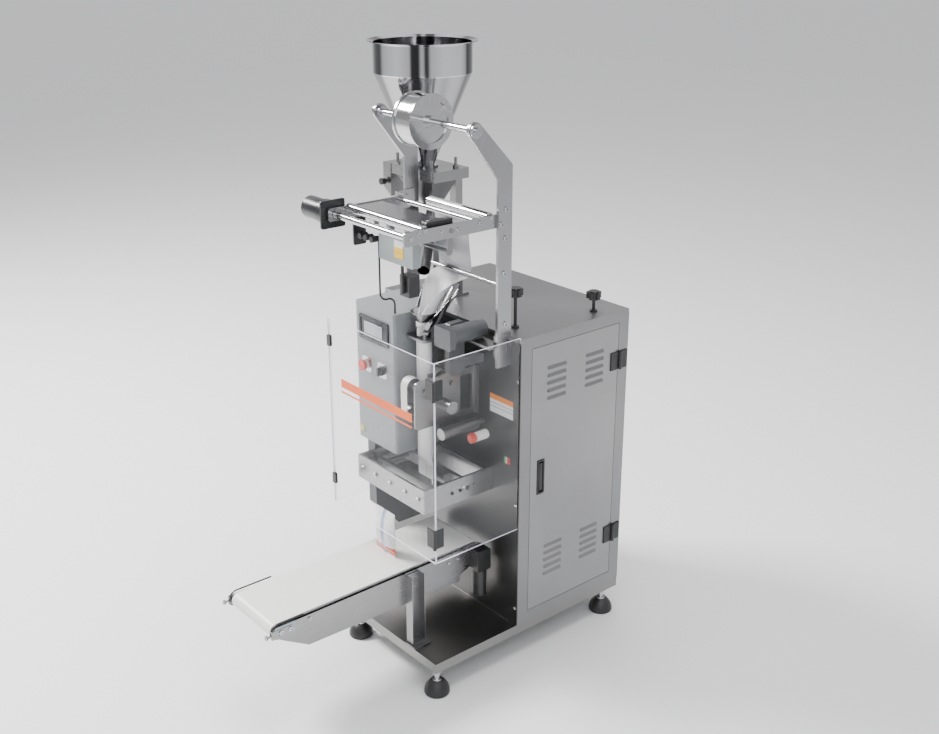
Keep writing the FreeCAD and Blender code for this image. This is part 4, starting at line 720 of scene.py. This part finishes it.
web_width, web_middle = 0.156, 0.084
rear_roller, stay = Vector((0, 0.104, 1.462)), Vector((0, 0.130, 1.259))
tube_x, tube_y, sleeve = 0.070, 0.024, 0.0242
roller_wrap, stay_wrap = 0.0146, 0.0068    # the web's radius on the rear roller and on the lower stay
sleeve_top, sleeve_end, flat_width = 1.112, 0.671, 0.037
columns = [-1 + i / 18 for i in range(37)]
film_rows = []
for step in range(9):
    angle = math.radians(130 - step * 16.5)
    y = rear_roller.y + roller_wrap * math.cos(angle)
    z = rear_roller.z + roller_wrap * math.sin(angle)
    film_rows.append([(web_middle + u * web_width / 2, y, z) for u in columns])
for step in range(1, 12):
    t = step / 12
    y = (rear_roller.y + roller_wrap) * (1 - t) + (stay.y + stay_wrap) * t
    z = rear_roller.z * (1 - t) + stay.z * t
    film_rows.append([(web_middle + u * web_width / 2,
                       y + 0.0022 * math.sin(3.1 * u + 4 * t) * math.sin(math.pi * t), z) for u in columns])
for step in range(5):
    angle = math.radians(-step * 18)
    film_rows.append([(web_middle + u * web_width / 2, stay.y + stay_wrap * math.cos(angle),
                       stay.z + stay_wrap * math.sin(angle)) for u in columns])
fold_steps = 26
for step in range(1, fold_steps + 1):
    s = step / fold_steps
    curve = (1 / sleeve) * s ** 0.45
    bend = 1 / curve
    back_y = (stay.y - 0.003) * (1 - s) + (tube_y + sleeve) * s
    middle = tube_x + (web_middle - tube_x) * (1 - s) ** 2
    z = stay.z - 0.008 - (stay.z - 0.008 - sleeve_top) * s
    row = []
    for u in columns:
        turn = min(max(u * web_width / 2 * curve, -math.pi), math.pi)
        row.append((middle + bend * math.sin(turn), back_y - bend + bend * math.cos(turn), z))
    film_rows.append(row)
for step in range(1, 15):
    z = sleeve_top - (sleeve_top - sleeve_end) * step / 14
    film_rows.append([(tube_x + sleeve * math.sin(u * math.pi), tube_y + sleeve * math.cos(u * math.pi), z)
                      for u in columns])
for step in range(1, 13):
    t = step / 12
    pressed = min(t * 3.5, 1.0)
    wide = sleeve + (flat_width - sleeve) * pressed
    deep = max(sleeve * (1 - pressed) ** 0.8, 0.0001)
    film_rows.append([(tube_x + wide * math.sin(u * math.pi), tube_y + deep * math.cos(u * math.pi),
                       sleeve_end - 0.105 * t) for u in columns])
film = sheet_object("film_web", film_rows, film_finish(), 0.0003)
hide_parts("film")
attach(film, "machine")


# Pouch. A filled pillow pouch that stands on the belt: glossy film with flat crimped seals top and bottom
# and a plain orange band above the lower seal.
def pouch_finish():
    finish, nodes, links, shader = new_finish("pouch_film")
    crease, where = stretched_grain(nodes, links, (1, 1, 1), 55.0)
    raise_grain(nodes, links, crease, 0.4, 0.003)
    split = nodes.new("ShaderNodeSeparateXYZ")
    links.new(where.outputs["Object"], split.inputs["Vector"])
    level = nodes.new("ShaderNodeMapRange")
    level.inputs["From Min"].default_value = 0.368
    level.inputs["From Max"].default_value = 0.520
    links.new(split.outputs["Z"], level.inputs["Value"])
    print_tone = nodes.new("ShaderNodeValToRGB")
    print_tone.color_ramp.interpolation = "CONSTANT"
    print_tone.color_ramp.elements[0].color = (0.86, 0.86, 0.86, 1)
    print_tone.color_ramp.elements[1].position = 0.62
    print_tone.color_ramp.elements[1].color = (0.80, 0.80, 0.82, 1)
    for position, tint in ((0.03, (0.62, 0.035, 0.002, 1)), (0.09, (0.75, 0.20, 0.005, 1)),
                           (0.14, (0.62, 0.035, 0.002, 1)), (0.20, (0.66, 0.67, 0.70, 1))):
        stop = print_tone.color_ramp.elements.new(position)
        stop.color = tint
    links.new(level.outputs["Result"], print_tone.inputs["Fac"])
    across = nodes.new("ShaderNodeMapRange")
    across.inputs["From Min"].default_value = 0.002
    across.inputs["From Max"].default_value = 0.106
    links.new(split.outputs["X"], across.inputs["Value"])
    foil = nodes.new("ShaderNodeValToRGB")
    foil.color_ramp.elements[0].color = (0, 0, 0, 1)
    foil.color_ramp.elements[1].color = (0, 0, 0, 1)
    for position, level_of_foil in ((0.42, 0.0), (0.46, 1.0), (0.58, 0.7), (0.62, 0.0)):
        stop = foil.color_ramp.elements.new(position)
        stop.color = (level_of_foil, level_of_foil, level_of_foil, 1)
    links.new(across.outputs["Result"], foil.inputs["Fac"])
    silver = nodes.new("ShaderNodeMix")
    silver.data_type = "RGBA"
    silver.inputs["B"].default_value = (0.20, 0.26, 0.42, 1)
    links.new(foil.outputs["Color"], silver.inputs["Factor"])
    links.new(print_tone.outputs["Color"], silver.inputs["A"])
    links.new(silver.outputs["Result"], shader.inputs["Base Color"])
    shader.inputs["Roughness"].default_value = 0.25
    shader.inputs["Coat Weight"].default_value = 0.5
    shader.inputs["Coat Roughness"].default_value = 0.1
    return finish


pouch_low, pouch_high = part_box("pouch")
pouch_centre = (pouch_low + pouch_high) / 2
pouch_shell = bmesh.new()
around, up = 48, 44
rings = []
for level in range(up + 1):
    v = level / up
    fill = max(math.sin(math.pi * min(max((v - 0.07) / 0.88, 0.0), 1.0)) ** 0.55, 0.0)
    full = 0.0008 + 0.0150 * fill * (1.15 - 0.35 * v)
    half = 0.0515 - 0.0045 * fill
    ridge = 0.0005 * math.sin(v * 420) if v < 0.07 or v > 0.95 else 0.0
    ring = []
    for i in range(around):
        turn = 2 * math.pi * i / around
        c, s = math.cos(turn), math.sin(turn)
        x = half * math.copysign(abs(c) ** 0.75, c)
        y = full * math.copysign(abs(s) ** 1.15, s) + ridge
        y += 0.0012 * math.sin(9 * x / half + 11 * v) * fill * abs(s)
        ring.append(pouch_shell.verts.new((pouch_centre.x + x, pouch_centre.y + y,
                                           pouch_low.z + v * (pouch_high.z - pouch_low.z))))
    rings.append(ring)
for lower, upper in zip(rings, rings[1:]):
    for i in range(around):
        j = (i + 1) % around
        pouch_shell.faces.new((lower[i], lower[j], upper[j], upper[i]))
pouch_shell.faces.new(list(reversed(rings[0])))
pouch_shell.faces.new(rings[-1])
pouch_mesh = bpy.data.meshes.new("filled_pouch")
pouch_shell.to_mesh(pouch_mesh)
pouch_shell.free()
pouch_mesh.materials.append(pouch_finish())
for face in pouch_mesh.polygons:
    face.use_smooth = True
pouch = bpy.data.objects.new("filled_pouch", pouch_mesh)
bpy.context.scene.collection.objects.link(pouch)
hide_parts("pouch")
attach(pouch, "machine")
